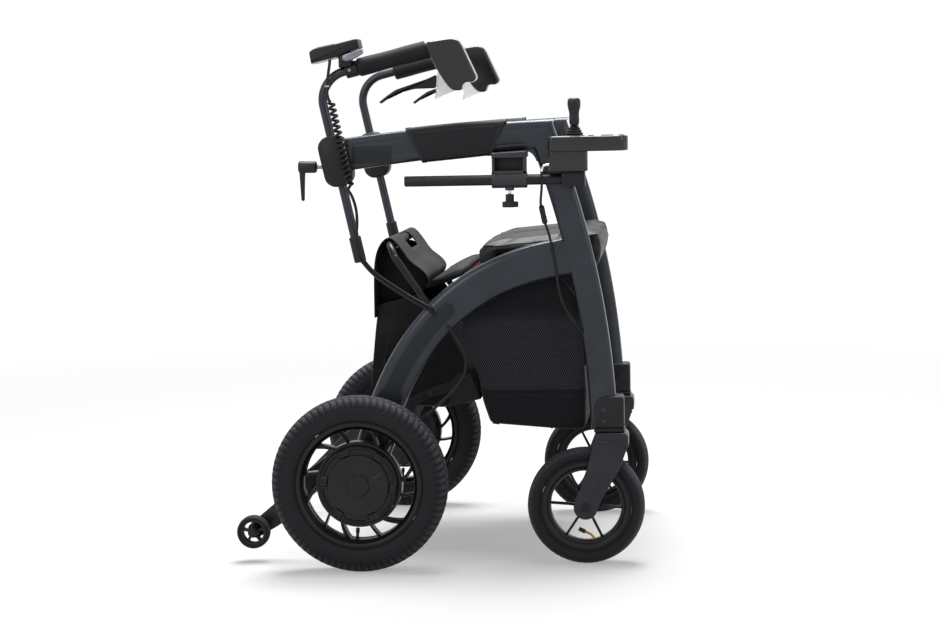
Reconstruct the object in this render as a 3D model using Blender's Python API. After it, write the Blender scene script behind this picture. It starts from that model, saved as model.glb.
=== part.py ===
"""Rollator wheelchair: frame, folding seat, motor wheels, casters, handles, bags and side controls.

Metres, +Z up, +X forward. Sizes below are measured from the rear axle's mid point on the ground;
one parent empty then moves the whole object so that its box is centred on the origin.
Pairs of pieces are built for the left side (+Y) and mirrored to the right.
"""

import math

import bmesh
import bpy
import numpy as np
from mathutils import Matrix, Vector

for old in list(bpy.data.objects):
    bpy.data.objects.remove(old, do_unlink=True)

# Fits
GAP = 0.0003  # between pieces that touch

# Rear wheels
REAR_RADIUS = 0.152
REAR_TRACK = 0.300  # half the distance between the tyre centres
REAR_TYRE_HALF = 0.027
REAR_RIM_RADIUS = REAR_RADIUS - 0.0423
REAR_RIM_INNER = REAR_RIM_RADIUS - 0.0142
SPOKE_RING_RADIUS = 0.0735
MOTOR_RADIUS = 0.0682
MOTOR_FACE = 0.328  # outer face of the motor cover
MOTOR_BACK = 0.2735
AXLE_RADIUS = 0.006
REAR_SIDES = 28

# Casters
WHEELBASE = 0.384
FRONT_RADIUS = 0.1013
FRONT_TYRE_HALF = 0.021
FRONT_RIM_RADIUS = FRONT_RADIUS - 0.0228
FRONT_RIM_INNER = FRONT_RIM_RADIUS - 0.0175
FORK_CROWN = 2 * FRONT_RADIUS + 0.0034  # underside of the bridge between the blades
FORK_TOP = FORK_CROWN + 0.0242
FORK_INNER = 0.0265  # half the space between the blades
FORK_OUTER = 0.032
FRONT_SIDES = 24

# Frame tubes: all lie in one plane on each side
FRAME_Y = 0.231
FRAME_HALF = 0.015
ARC_START = (0.0, 0.152)
ARC_START_ANGLE = 76.4
ARC_START_PULL = 0.217
ARC_END = (0.3433, 0.530)
ARC_END_ANGLE = 8.75
ARC_END_PULL = 0.198
ARC_DEPTH_LOW = 0.058
ARC_DEPTH_HIGH = 0.065
LEG_MOST_X = 0.4174  # the leg's centre line is x = LEG_MOST_X - LEG_BEND (z - LEG_BEND_Z)^2
LEG_BEND = 0.3365
LEG_BEND_Z = 0.198
LEG_DEPTH = 0.0462
SWIVEL_X = LEG_MOST_X + 0.0106
LEG_FOOT = FORK_TOP + 0.0053
ARM_MOST_Z = 0.7431  # the arm's centre line is z = ARM_MOST_Z - ARM_BEND (x - ARM_BEND_X)^2
ARM_BEND = 0.144
ARM_BEND_X = 0.439
ARM_DEPTH_REAR = 0.056
ARM_DEPTH_FRONT = 0.051
MITRE_TOP = (0.336, 0.761)
MITRE_FOOT = (0.303, 0.7165)

# Folding cross: all its axes run along X
SIDE_PIVOT_Y = 0.163
SIDE_PIVOT_Z = 0.367
SEAT_HINGE_Z = 0.527
CROSS_X = 0.255  # the plane between the two crossing struts
STRUT_WIDE = 0.018
STRUT_GAP = 0.004
STRUT_HALF = 0.009
PIN_RADIUS = 0.006
RAIL_RADIUS = 0.009
RAIL_START = 0.2175
RAIL_END = 0.402

# Handles
STEM_FOOT = (0.0003, 0.5269)
STEM_LEAN = 12.1
STEM_CORNER = (-0.0676, 0.8438)
STEM_BEND_RADIUS = 0.050
STEM_RISE = 13.3  # slope of the part that carries the grip
STEM_RADIUS = 0.00775
STEM_END_X = 0.150
SLEEVE_RADIUS = 0.0105
SLEEVE_LENGTH = 0.045
BLOCK_Z = 0.702
BLOCK_LONG = 0.088
BLOCK_DEPTH = 0.050
BLOCK_HALF = 0.020
GRIP_RADIUS = 0.0158
GRIP_START_X = 0.0045
LEVER_PIVOT = (0.163, 0.840)

# Controls
ROD_Y = 0.262
ROD_Z = 0.6658
ROD_RADIUS = 0.009
ROD_START_X = 0.084
PANEL_INNER = 0.2465
PANEL_OUTER = 0.2965
STICK_X = 0.375
STICK_Z = 0.738
KNOB_X = 0.2633

# Anti-tip wheels
TIP_AXLE = (-0.2025, 0.053)
TIP_RADIUS = 0.0292
TIP_PIVOT = (0.012, 0.200)

# Soft goods
PAD_HALF = 0.194
PAD_FLOOR = 0.513
PAD_REAR_TOP = 0.556
PAD_FRONT_TOP = 0.5735
PAD_CORNER = 0.018
BAG_OUTER = FRAME_Y - FRAME_HALF - GAP
BAG_WALL = 0.010

FRONT_MOST = WHEELBASE + FRONT_RADIUS
REAR_MOST = TIP_AXLE[0] - TIP_RADIUS
CENTRE_X = (FRONT_MOST + REAR_MOST) / 2

COLOURS = {
    "frame": (0.030, 0.036, 0.043, 0.55, 0.38),
    "black": (0.011, 0.011, 0.012, 0.0, 0.45),
    "gloss": (0.008, 0.008, 0.009, 0.0, 0.16),
    "tyre": (0.030, 0.031, 0.033, 0.0, 0.75),
    "grip": (0.012, 0.012, 0.012, 0.0, 0.7),
    "steel": (0.28, 0.28, 0.28, 1.0, 0.32),
    "cast": (0.055, 0.058, 0.062, 0.7, 0.5),
    "fabric": (0.009, 0.009, 0.011, 0.0, 0.9),
    "seat": (0.050, 0.052, 0.056, 0.0, 0.8),
    "lever": (0.020, 0.020, 0.021, 0.0, 0.40),
}

ROOT = bpy.data.objects.new("object_centre", None)
ROOT.location = (-CENTRE_X, 0.0, 0.0)
bpy.context.scene.collection.objects.link(ROOT)


def shape(points, faces):
    """A mesh object from points and faces, all its faces turned outwards."""
    mesh = bpy.data.meshes.new("shape")
    mesh.from_pydata([tuple(float(v) for v in p) for p in points], [], faces)
    work = bmesh.new()
    work.from_mesh(mesh)
    bmesh.ops.recalc_face_normals(work, faces=work.faces)
    work.to_mesh(mesh)
    work.free()
    made = bpy.data.objects.new("shape", mesh)
    bpy.context.scene.collection.objects.link(made)
    return made


def loft(rings, closed=False):
    """A skin through rings of equal length, capped at both ends unless the rings close on themselves."""
    count = len(rings[0])
    points = [p for ring in rings for p in ring]
    faces = []
    last = len(rings) if closed else len(rings) - 1
    for i in range(last):
        a = i * count
        b = (i + 1) % len(rings) * count
        for j in range(count):
            k = (j + 1) % count
            faces.append((a + j, a + k, b + k, b + j))
    if not closed:
        faces.append(tuple(range(count)))
        faces.append(tuple(range(len(points) - count, len(points))))
    return shape(points, faces)


def pipe(outer, inner):
    """A wall between two lofts of equal size, open at both ends."""
    return loft_pairs([list(a) + list(b) for a, b in zip(outer, inner)], len(outer[0]))


def loft_pairs(rings, count):
    """Rings that hold an outer loop and then an inner loop of the same length."""
    points = [p for ring in rings for p in ring]
    faces = []
    step = 2 * count
    for i in range(len(rings) - 1):
        a = i * step
        b = a + step
        for j in range(count):
            k = (j + 1) % count
            faces.append((a + j, a + k, b + k, b + j))
            faces.append((a + count + j, b + count + j, b + count + k, a + count + k))
    for a in (0, (len(rings) - 1) * step):
        for j in range(count):
            k = (j + 1) % count
            faces.append((a + j, a + k, a + count + k, a + count + j))
    return shape(points, faces)


def inset(outline, amount):
    """The outline moved inwards by an equal distance along each of its sides."""
    flat = np.array(outline, float)
    turn = np.sum(flat[:, 0] * np.roll(flat[:, 1], -1) - np.roll(flat[:, 0], -1) * flat[:, 1])
    moved = []
    for i, here in enumerate(flat):
        before = here - flat[i - 1]
        after = flat[(i + 1) % len(flat)] - here
        before /= np.linalg.norm(before)
        after /= np.linalg.norm(after)
        n1 = np.array([-before[1], before[0]]) * np.sign(turn)
        n2 = np.array([-after[1], after[0]]) * np.sign(turn)
        moved.append(here + amount * (n1 + n2) / (1 + n1 @ n2))
    return moved


def prism(outline, low, high, axis="Y", chamfer=0.0):
    """The outline drawn across the given axis and pulled along it from low to high."""
    order = {
        "Y": lambda u, v, w: (u, w, v),
        "X": lambda u, v, w: (w, u, v),
        "Z": lambda u, v, w: (u, v, w),
    }[axis]
    if chamfer:
        small = inset(outline, chamfer)
        levels = [(small, low), (outline, low + chamfer), (outline, high - chamfer), (small, high)]
    else:
        levels = [(outline, low), (outline, high)]
    return loft([[order(u, v, w) for u, v in ring] for ring, w in levels])


def box(low, high):
    return prism(
        [(low[0], low[1]), (high[0], low[1]), (high[0], high[1]), (low[0], high[1])], low[2], high[2], "Z"
    )


def turned(profile, centre, axis="Y", sides=16, hollow=False, phase=0.0):
    """The profile of (radius, distance along the axis) points turned about an axis through the centre."""
    frame = {
        "X": (Vector((0, 1, 0)), Vector((0, 0, 1)), Vector((1, 0, 0))),
        "Y": (Vector((0, 0, 1)), Vector((1, 0, 0)), Vector((0, 1, 0))),
        "Z": (Vector((1, 0, 0)), Vector((0, 1, 0)), Vector((0, 0, 1))),
    }
    across, up, along = frame[axis] if isinstance(axis, str) else frame_about(axis)
    middle = Vector(centre)
    points = []
    rows = []
    for radius, height in profile:
        if radius == 0.0:
            rows.append([len(points)])
            points.append(middle + along * height)
            continue
        row = []
        for i in range(sides):
            angle = phase + 2 * math.pi * i / sides
            row.append(len(points))
            points.append(
                middle + along * height + (across * math.cos(angle) + up * math.sin(angle)) * radius
            )
        rows.append(row)
    faces = []
    pairs = list(zip(rows, rows[1:]))
    if hollow:
        pairs.append((rows[-1], rows[0]))
    for low, high in pairs:
        for i in range(sides):
            k = (i + 1) % sides
            corners = [low[i % len(low)], low[k % len(low)], high[k % len(high)], high[i % len(high)]]
            kept = [c for n, c in enumerate(corners) if c not in corners[:n]]
            if len(kept) > 2:
                faces.append(tuple(kept))
    return shape(points, faces)


def frame_about(direction):
    """Two directions square to the given one, and the direction itself."""
    along = Vector(direction).normalized()
    helper = Vector((0, 1, 0)) if abs(along.y) < 0.9 else Vector((1, 0, 0))
    across = helper.cross(along).normalized()
    return across, along.cross(across), along


def rod(start, end, radius, sides=12):
    """A plain cylinder between two points."""
    a = Vector(start)
    b = Vector(end)
    length = (b - a).length
    return turned([(0.0, 0.0), (radius, 0.0), (radius, length), (0.0, length)], a, b - a, sides)


def combine(base, tools, operation):
    """The base with each tool joined to it or cut from it; the tools are used up."""
    for tool in tools:
        step = base.modifiers.new("step", "BOOLEAN")
        step.operation = operation
        step.solver = "EXACT"
        step.object = tool
    bpy.context.view_layer.update()
    graph = bpy.context.evaluated_depsgraph_get()
    mesh = bpy.data.meshes.new_from_object(base.evaluated_get(graph))
    base.modifiers.clear()
    base.data = mesh
    for tool in tools:
        bpy.data.objects.remove(tool, do_unlink=True)
    return base


def join(base, *tools):
    return combine(base, tools, "UNION")


def cut(base, *tools):
    return combine(base, tools, "DIFFERENCE")


def gathered(parts):
    """Separate shapes in one mesh, for a tool made of several pieces that don't touch."""
    points = []
    faces = []
    for part in parts:
        start = len(points)
        points.extend(v.co.copy() for v in part.data.vertices)
        faces.extend(tuple(start + i for i in f.vertices) for f in part.data.polygons)
        bpy.data.objects.remove(part, do_unlink=True)
    return shape(points, faces)


def surface(name, slot):
    """This node's own material."""
    red, green, blue, metal, rough = COLOURS[slot]
    made = bpy.data.materials.new(name)
    made.use_nodes = True
    shader = made.node_tree.nodes["Principled BSDF"]
    shader.inputs["Base Color"].default_value = (red, green, blue, 1.0)
    shader.inputs["Metallic"].default_value = metal
    shader.inputs["Roughness"].default_value = rough
    return made


def node(name, made, slot, origin, angle=32.0):
    """Names the object, puts its origin on its joint and hangs it from the object's centre."""
    made.name = name
    made.data.name = name
    made.data.transform(Matrix.Translation(-Vector(origin)))
    made.location = origin
    made.parent = ROOT
    made.data.shade_smooth()
    made.data.set_sharp_from_angle(angle=math.radians(angle))
    made.data.materials.clear()
    made.data.materials.append(surface(name, slot))
    return made


def pair(name, made, slot, origin, angle=32.0):
    """The left piece as built, and its mirror image on the right."""
    other = bpy.data.objects.new("shape", made.data.copy())
    bpy.context.scene.collection.objects.link(other)
    other.data.transform(Matrix.Diagonal((1.0, -1.0, 1.0, 1.0)))
    other.data.flip_normals()
    node(name + "_left", made, slot, origin, angle)
    node(name + "_right", other, slot, (origin[0], -origin[1], origin[2]), angle)


def cord(name, route, radius, slot, origin):
    """A cable: a bevelled curve through (x, y, z) or (x, y, z, thickness factor) points."""
    curve = bpy.data.curves.new(name, "CURVE")
    curve.dimensions = "3D"
    curve.bevel_depth = radius
    curve.bevel_resolution = 2
    curve.use_fill_caps = True
    line = curve.splines.new("POLY")
    line.points.add(len(route) - 1)
    for point, place in zip(line.points, route):
        point.co = (place[0] - origin[0], place[1] - origin[1], place[2] - origin[2], 1.0)
        point.radius = place[3] if len(place) > 3 else 1.0
    made = bpy.data.objects.new(name, curve)
    bpy.context.scene.collection.objects.link(made)
    made.location = origin
    made.parent = ROOT
    curve.materials.append(surface(name, slot))
    return made


def spaced(route, step):
    """A smooth route through the given points, with a point about every step."""
    guide = [np.array(p, float) for p in route]
    guide = [2 * guide[0] - guide[1]] + guide + [2 * guide[-1] - guide[-2]]
    out = []
    for i in range(1, len(guide) - 2):
        p0, p1, p2, p3 = guide[i - 1 : i + 3]
        count = max(1, round(float(np.linalg.norm((p2 - p1)[:3])) / step))
        for n in range(count):
            t = n / count
            square = 2 * p0 - 5 * p1 + 4 * p2 - p3
            cube = 3 * p1 - p0 - 3 * p2 + p3
            out.append(0.5 * (2 * p1 + (p2 - p0) * t + square * t**2 + cube * t**3))
    out.append(guide[-2])
    return out


def across_path(place, slope, section, middle=FRAME_Y):
    """A section of (up from the path, sideways) points set across an XZ path that rises at the slope."""
    x, z = place
    up = (-math.sin(slope), math.cos(slope))
    return [(x + a * up[0], middle + b, z + a * up[1]) for a, b in section]


def slid(ring, slope, point, normal):
    """The ring's points moved along the path's slope onto a plane across XZ."""
    forward = (math.cos(slope), math.sin(slope))
    out = []
    for x, y, z in ring:
        far = ((point[0] - x) * normal[0] + (point[1] - z) * normal[1]) / (
            forward[0] * normal[0] + forward[1] * normal[1]
        )
        out.append((x + forward[0] * far, y, z + forward[1] * far))
    return out


def tube_section(depth, half, corner=0.005, grow=0.0):
    """A rectangle with cut corners; grow moves every side outwards."""
    d = depth / 2 + grow
    h = half + grow
    c = corner + (2 - math.sqrt(2)) * grow
    return [
        (-d, c - h), (-d, h - c), (c - d, h), (d - c, h), (d, h - c), (d, c - h), (d - c, -h), (c - d, -h)
    ]


def oval_section(depth, half):
    """The arc tube's section: flat sides, cut corners and narrow crowned edges."""
    d = depth / 2
    side = [(d, 0.38 * half), (0.82 * d, 0.80 * half), (0.60 * d, half)]
    right = side + [(-a, b) for a, b in reversed(side)]
    return right + [(-a, -b) for a, b in right]


def unit(dx, dz):
    length = math.hypot(dx, dz)
    return dx / length, dz / length


# Frame tubes
def leg_place(z):
    """The leg's centre line at a height, and its slope for a path that runs upwards."""
    x = LEG_MOST_X - LEG_BEND * (z - LEG_BEND_Z) ** 2
    return (x, z), math.atan2(1.0, -2 * LEG_BEND * (z - LEG_BEND_Z))


def leg_rear(z):
    """The point on the leg's rear face at the station of this height."""
    (x, z), slope = leg_place(z)
    return x - math.sin(slope) * LEG_DEPTH / 2, z + math.cos(slope) * LEG_DEPTH / 2


def arm_place(x):
    return (x, ARM_MOST_Z - ARM_BEND * (x - ARM_BEND_X) ** 2), math.atan(-2 * ARM_BEND * (x - ARM_BEND_X))


def arm_depth(x):
    return ARM_DEPTH_REAR + (ARM_DEPTH_FRONT - ARM_DEPTH_REAR) * max(0.0, min(1.0, x / MITRE_FOOT[0]))


def arc_place(t):
    """A point of the arc tube's centre line (a cubic Bezier), its slope and the tube's depth there."""
    first = math.radians(ARC_START_ANGLE)
    final = math.radians(ARC_END_ANGLE)
    a = np.array(ARC_START)
    d = np.array(ARC_END)
    b = a + ARC_START_PULL * np.array([math.cos(first), math.sin(first)])
    c = d - ARC_END_PULL * np.array([math.cos(final), math.sin(final)])
    place = (1 - t) ** 3 * a + 3 * (1 - t) ** 2 * t * b + 3 * (1 - t) * t**2 * c + t**3 * d
    way = (1 - t) ** 2 * (b - a) + 2 * (1 - t) * t * (c - b) + t**2 * (d - c)
    depth = ARC_DEPTH_LOW + (ARC_DEPTH_HIGH - ARC_DEPTH_LOW) * t
    return (float(place[0]), float(place[1])), math.atan2(way[1], way[0]), depth


STEM_WAY = (-math.sin(math.radians(STEM_LEAN)), math.cos(math.radians(STEM_LEAN)))
GRIP_WAY = (math.cos(math.radians(STEM_RISE)), math.sin(math.radians(STEM_RISE)))
MITRE_WAY = unit(MITRE_TOP[0] - MITRE_FOOT[0], MITRE_TOP[1] - MITRE_FOOT[1])
MITRE_NORMAL = (-MITRE_WAY[1], MITRE_WAY[0])  # towards the arm tube


def stem_at(far):
    """The point this far up the stem's axis, from its foot."""
    return STEM_FOOT[0] + STEM_WAY[0] * far, STEM_FOOT[1] + STEM_WAY[1] * far


def grip_at(x):
    return x, STEM_CORNER[1] + (x - STEM_CORNER[0]) * GRIP_WAY[1] / GRIP_WAY[0]


def arm_ring(x, grow=0.0, plane=None):
    place, slope = arm_place(x)
    ring = across_path(place, slope, tube_section(arm_depth(x), FRAME_HALF, grow=grow))
    return slid(ring, slope, *plane) if plane else ring


block_face = stem_at(0.0)
block_face = (
    block_face[0] + (BLOCK_DEPTH / 2 + GAP) * STEM_WAY[1],
    block_face[1] - (BLOCK_DEPTH / 2 + GAP) * STEM_WAY[0],
)
arm = [arm_ring(0.0, plane=(block_face, (STEM_WAY[1], -STEM_WAY[0])))]
arm += [arm_ring(x) for x in (0.05, 0.10, 0.15, 0.20, 0.25)]
arm.append(
    arm_ring(
        0.295,
        plane=(
            (MITRE_FOOT[0] + MITRE_NORMAL[0] * GAP / 2, MITRE_FOOT[1] + MITRE_NORMAL[1] * GAP / 2),
            MITRE_NORMAL,
        ),
    )
)
pair("arm_tube", loft(arm), "frame", (0.15, FRAME_Y, 0.73))

LEG_STATIONS = (0.30, 0.36, 0.43, 0.497, 0.570, 0.63, 0.69)


def leg_body(low, heights, grow=0.0, mitre=True):
    """The leg's loft from a flat foot at the low height through the stations to the mitre."""
    section = tube_section(LEG_DEPTH, FRAME_HALF, grow=grow)
    place, slope = leg_place(low)
    rings = [slid(across_path(place, slope, section), slope, (0.0, low), (0.0, 1.0))]
    rings += [across_path(*leg_place(z), section) for z in heights]
    if mitre:
        place, slope = leg_place(0.725)
        foot = (MITRE_FOOT[0] - MITRE_NORMAL[0] * GAP / 2, MITRE_FOOT[1] - MITRE_NORMAL[1] * GAP / 2)
        rings.append(slid(across_path(place, slope, section), slope, foot, MITRE_NORMAL))
    return loft(rings)


def swivel_rod(low, high, radius):
    return rod((SWIVEL_X, FRAME_Y, low), (SWIVEL_X, FRAME_Y, high), radius, 14)


def leg():
    return cut(
        leg_body(LEG_FOOT, LEG_STATIONS), swivel_rod(FORK_TOP - 0.0052, FORK_TOP + 0.0306, PIN_RADIUS + GAP)
    )


left_leg = leg()
right_leg = leg()
right_leg.data.transform(Matrix.Diagonal((1.0, -1.0, 1.0, 1.0)))
right_leg.data.flip_normals()
JOYSTICK_CABLE_IN = ((0.3735, -0.2505, 0.4147), (0.3905, -0.2375, 0.3905))
cut(right_leg, rod(*JOYSTICK_CABLE_IN, 0.0036, 10))
node("front_leg_left", left_leg, "frame", (0.40, FRAME_Y, 0.45))
node("front_leg_right", right_leg, "frame", (0.40, -FRAME_Y, 0.45))

# Caster housings wrap the foot of each leg
housing = prism(
    [
        (SWIVEL_X - 0.0272, FORK_TOP + GAP), (SWIVEL_X + 0.0237, FORK_TOP + GAP),
        (SWIVEL_X + 0.0237, FORK_TOP + 0.0623),
        (SWIVEL_X - 0.0150, FORK_TOP + 0.0623), (SWIVEL_X - 0.0272, FORK_TOP + 0.0488),
    ],
    FRAME_Y - 0.0205,
    FRAME_Y + 0.0205,
    chamfer=0.0025,
)
cut(
    housing,
    leg_body(LEG_FOOT - GAP, (0.30, 0.36), GAP, mitre=False),
    swivel_rod(FORK_TOP - 0.0102, FORK_TOP + 0.0198, PIN_RADIUS + GAP),
)
pair("caster_housing", housing, "black", (SWIVEL_X, FRAME_Y, FORK_TOP + 0.0298))

# Arc tubes, each with its axle, its bracket for the cross and a rest for the seat
rear_facet = (leg_rear(0.497), leg_rear(0.570))
facet_way = unit(rear_facet[1][0] - rear_facet[0][0], rear_facet[1][1] - rear_facet[0][1])
facet_out = (-facet_way[1], facet_way[0])
ARC_TUNNEL = (  # two bores that meet inside the right tube
    ((0.1240, 0.2515, 0.4410), (0.1428, 0.2333, 0.4227)),
    ((0.1580, 0.2515, 0.4080), (0.1392, 0.2333, 0.4263)),
)


def arc_ring(t, back=0.0, shrink=1.0):
    (x, z), slope, depth = arc_place(t)
    place = (x - back * math.cos(slope), z - back * math.sin(slope))
    return across_path(place, slope, oval_section(depth * shrink, FRAME_HALF))


def arc_tube(ear_low, ear_high):
    """One arc tube on the left side, with the bracket's ear between two x positions."""
    rings = [arc_ring(0.0, 0.026, 0.5), arc_ring(0.0, 0.018, 0.84)]
    rings += [arc_ring(t) for t in (0.0, 0.12, 0.24, 0.35, 0.45, 0.55, 0.65, 0.75, 0.85, 0.94)]
    end = (rear_facet[0][0] + GAP * facet_out[0], rear_facet[0][1] + GAP * facet_out[1])
    place, slope, depth = arc_place(1.0)
    rings.append(slid(across_path(place, slope, oval_section(depth, FRAME_HALF)), slope, end, facet_out))
    body = loft(rings)
    axle = turned(
        [
            (0.0, 0.236), (0.017, 0.236), (0.017, 0.266), (AXLE_RADIUS, 0.266), (AXLE_RADIUS, 0.3085),
            (0.0, 0.3085)
        ],
        (ARC_START[0], 0.0, ARC_START[1]),
        sides=16,
    )
    bracket = prism(
        [
            (SIDE_PIVOT_Y, 0.3555), (0.1935, 0.376), (0.2015, 0.392), (0.2015, 0.4815),
            (0.2190, 0.4890), (0.2190, 0.515), (0.2070, 0.512), (0.1895, 0.4890), (0.1895, 0.398),
            (SIDE_PIVOT_Y, 0.3785),
        ],
        ear_low,
        ear_high,
        "X",
    )
    ear = rod(
        (ear_low + 0.0004, SIDE_PIVOT_Y, SIDE_PIVOT_Z), (ear_high - 0.0004, SIDE_PIVOT_Y, SIDE_PIVOT_Z),
        0.0118, 16
    )
    rest = box((0.288, 0.152, 0.500), (0.312, 0.219, PAD_FLOOR - GAP))
    join(body, axle, bracket, ear, rest)
    pin = rod((0.22, SIDE_PIVOT_Y, SIDE_PIVOT_Z), (0.30, SIDE_PIVOT_Y, SIDE_PIVOT_Z), PIN_RADIUS + GAP, 12)
    tip = rod((TIP_PIVOT[0], 0.20, TIP_PIVOT[1]), (TIP_PIVOT[0], 0.2286, TIP_PIVOT[1]), PIN_RADIUS + GAP, 12)
    return cut(body, pin, tip)


EAR_OF_A = (0.2535, 0.2705)  # ahead of strut A, on the right frame
EAR_OF_B = (2 * CROSS_X - EAR_OF_A[1], 2 * CROSS_X - EAR_OF_A[0])
left_arc = arc_tube(*EAR_OF_B)
right_arc = arc_tube(*EAR_OF_A)
cut(right_arc, *[rod(start, end, 0.0042, 10) for start, end in ARC_TUNNEL])
right_arc.data.transform(Matrix.Diagonal((1.0, -1.0, 1.0, 1.0)))
right_arc.data.flip_normals()
node("arc_tube_left", left_arc, "frame", (ARC_START[0], FRAME_Y, ARC_START[1]))
node("arc_tube_right", right_arc, "frame", (ARC_START[0], -FRAME_Y, ARC_START[1]))

# Folding cross
def cross_frame(sign, strut_low, strut_high, pin_end, pin_head):
    """A strut from the pivot at one side (sign -1: right) up to the seat rail at the other."""
    low = Vector((0.0, sign * SIDE_PIVOT_Y, SIDE_PIVOT_Z))
    high = Vector((0.0, -sign * SIDE_PIVOT_Y, SEAT_HINGE_Z))
    way = (high - low).normalized()
    side = Vector((0.0, -way.z, way.y)) * STRUT_HALF
    outline = [(p.y, p.z) for p in (low - side, high - side, high + side, low + side)]
    strut = prism(outline, strut_low, strut_high, "X")
    barrel = rod(
        (strut_low + 0.0005, low.y, low.z), (strut_high - 0.0005, low.y, low.z), STRUT_HALF + 0.0015, 14
    )
    rail = rod((RAIL_START, high.y, high.z), (RAIL_END, high.y, high.z), RAIL_RADIUS, 14)
    inside = (strut_low + strut_high) / 2
    pin = rod((inside, low.y, low.z), ((pin_head + pin_end) / 2, low.y, low.z), PIN_RADIUS, 12)
    head = rod((pin_head, low.y, low.z), (pin_end, low.y, low.z), 0.0095, 12)
    return join(strut, barrel, rail, pin, head)


centre = (0.0, (SIDE_PIVOT_Z + SEAT_HINGE_Z) / 2)
a_low = CROSS_X - STRUT_GAP / 2 - STRUT_WIDE
a_high = CROSS_X - STRUT_GAP / 2
b_low = CROSS_X + STRUT_GAP / 2
b_high = CROSS_X + STRUT_GAP / 2 + STRUT_WIDE
cross_a = cross_frame(-1, a_low, a_high, EAR_OF_A[1] + 0.003, EAR_OF_A[1] + GAP)
cut(cross_a, rod((a_low - 0.01, *centre), (a_high + 0.01, *centre), PIN_RADIUS + GAP, 12))
node("cross_frame_a", cross_a, "black", (CROSS_X, -SIDE_PIVOT_Y, SIDE_PIVOT_Z))
cross_b = cross_frame(1, b_low, b_high, EAR_OF_B[0] - 0.003, EAR_OF_B[0] - GAP)
join(
    cross_b,
    rod((b_low + 0.009, *centre), (a_low - 0.0020, *centre), PIN_RADIUS, 12),
    rod((a_low - GAP, *centre), (a_low - 0.0036, *centre), 0.0095, 12),
)
node("cross_frame_b", cross_b, "black", (CROSS_X, *centre))

# Seat: two pads hinged on the seat rails, in a groove that a strut can swing out of
PAD_LINE = (  # x, underside, top
    (0.2010, 0.5240, 0.5440),
    (0.2060, 0.5165, 0.5520),
    (0.2151, PAD_FLOOR, PAD_REAR_TOP),
    (0.3350, PAD_FLOOR, 0.5668),
    (0.3520, 0.4985, 0.5683),
    (0.3960, 0.4968, 0.5723),
    (0.4060, 0.5120, PAD_FRONT_TOP),
    (0.4110, 0.5205, 0.5690),
    (0.4149, 0.5380, 0.5560),
)
PAD_SETBACK = (  # keeps the pads' inner faces clear of each other as they fold upwards
    (-0.032, 0.0304), (-0.020, 0.0200), (-0.014, 0.0160), (0.0, 0.0090), (0.010, 0.0054), (0.020, 0.0028),
    (0.030, 0.0013),
)


def setback(height):
    """How far the pad's inner face stands from the middle, by height over the hinge."""
    return float(np.interp(height, [h for h, _ in PAD_SETBACK], [s for _, s in PAD_SETBACK]))


def pad_ring(x, low, high):
    """The pad's outline across the chair at one x."""
    round_by = min(PAD_CORNER, 0.65 * (high - low))
    ring = []
    for share in (0.0, 0.35, 0.7, 1.0):
        z = low + (high - low) * share
        ring.append((x, setback(z - SEAT_HINGE_Z) + (0.0006 if share == 1.0 else 0.0), z))
    for angle in (90, 60, 30, 0):
        turn = math.radians(angle)
        ring.append((x, PAD_HALF - round_by * (1 - math.cos(turn)), high - round_by * (1 - math.sin(turn))))
    ring.append((x, PAD_HALF, low + 0.004))
    ring.append((x, PAD_HALF - 0.004, low))
    return ring


pad = loft([pad_ring(*row) for row in PAD_LINE])
groove = RAIL_RADIUS + GAP
cut(
    pad,
    rod(
        (RAIL_START - 0.001, SIDE_PIVOT_Y, SEAT_HINGE_Z), (RAIL_END + 0.001, SIDE_PIVOT_Y, SEAT_HINGE_Z),
        groove, 14
    ),
    box(
        (RAIL_START - 0.001, SIDE_PIVOT_Y - 0.9 * groove, 0.48),
        (RAIL_END + 0.001, SIDE_PIVOT_Y + 0.9 * groove, SEAT_HINGE_Z)
    ),
    box((a_low - 0.005, -0.01, 0.48), (b_high + 0.005, 0.21, SEAT_HINGE_Z + STRUT_HALF + 0.001)),
)
pair("seat_pad", pad, "seat", (CROSS_X, SIDE_PIVOT_Y, SEAT_HINGE_Z), 40)


# Wheels
def tyre(tread, half, bead, bead_half, centre, sides):
    """A closed ring: bead, bulging side wall, shoulder and tread."""
    high = tread - bead
    wall = [
        (bead, bead_half), (bead + 0.42 * high, half), (bead + 0.82 * high, 0.84 * half),
        (tread, 0.36 * half),
    ]
    return turned(
        [(r, -h) for r, h in wall] + [(r, h) for r, h in reversed(wall)], centre, "Y", sides, hollow=True
    )


def ring(profile, centre, sides, axis="Y"):
    """A closed ring whose profile is given for one half and mirrored across its middle."""
    both = [(r, -h) for r, h in profile] + [(r, h) for r, h in reversed(profile)]
    return turned(both, centre, axis, sides, hollow=True)


def vane(centre, half, thick, inner, outer, start, sweep, steps=2):
    """A thin curved plate in a wheel, from one radius and angle to another."""
    rings = []
    for i in range(steps + 1):
        share = i / steps
        radius = inner + (outer - inner) * share
        angle = math.radians(start + sweep * share)
        away = (math.cos(angle), math.sin(angle))
        lean = math.atan2(radius * math.radians(sweep), outer - inner)
        side = (-math.sin(angle + lean) * thick / 2, math.cos(angle + lean) * thick / 2)
        x = centre[0] + radius * away[0]
        z = centre[2] + radius * away[1]
        rings.append(
            [
                (x + s * side[0], centre[1] + h, z + s * side[1])
                for s, h in ((-1, -half), (1, -half), (1, half), (-1, half))
            ]
        )
    return loft(rings)


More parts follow.
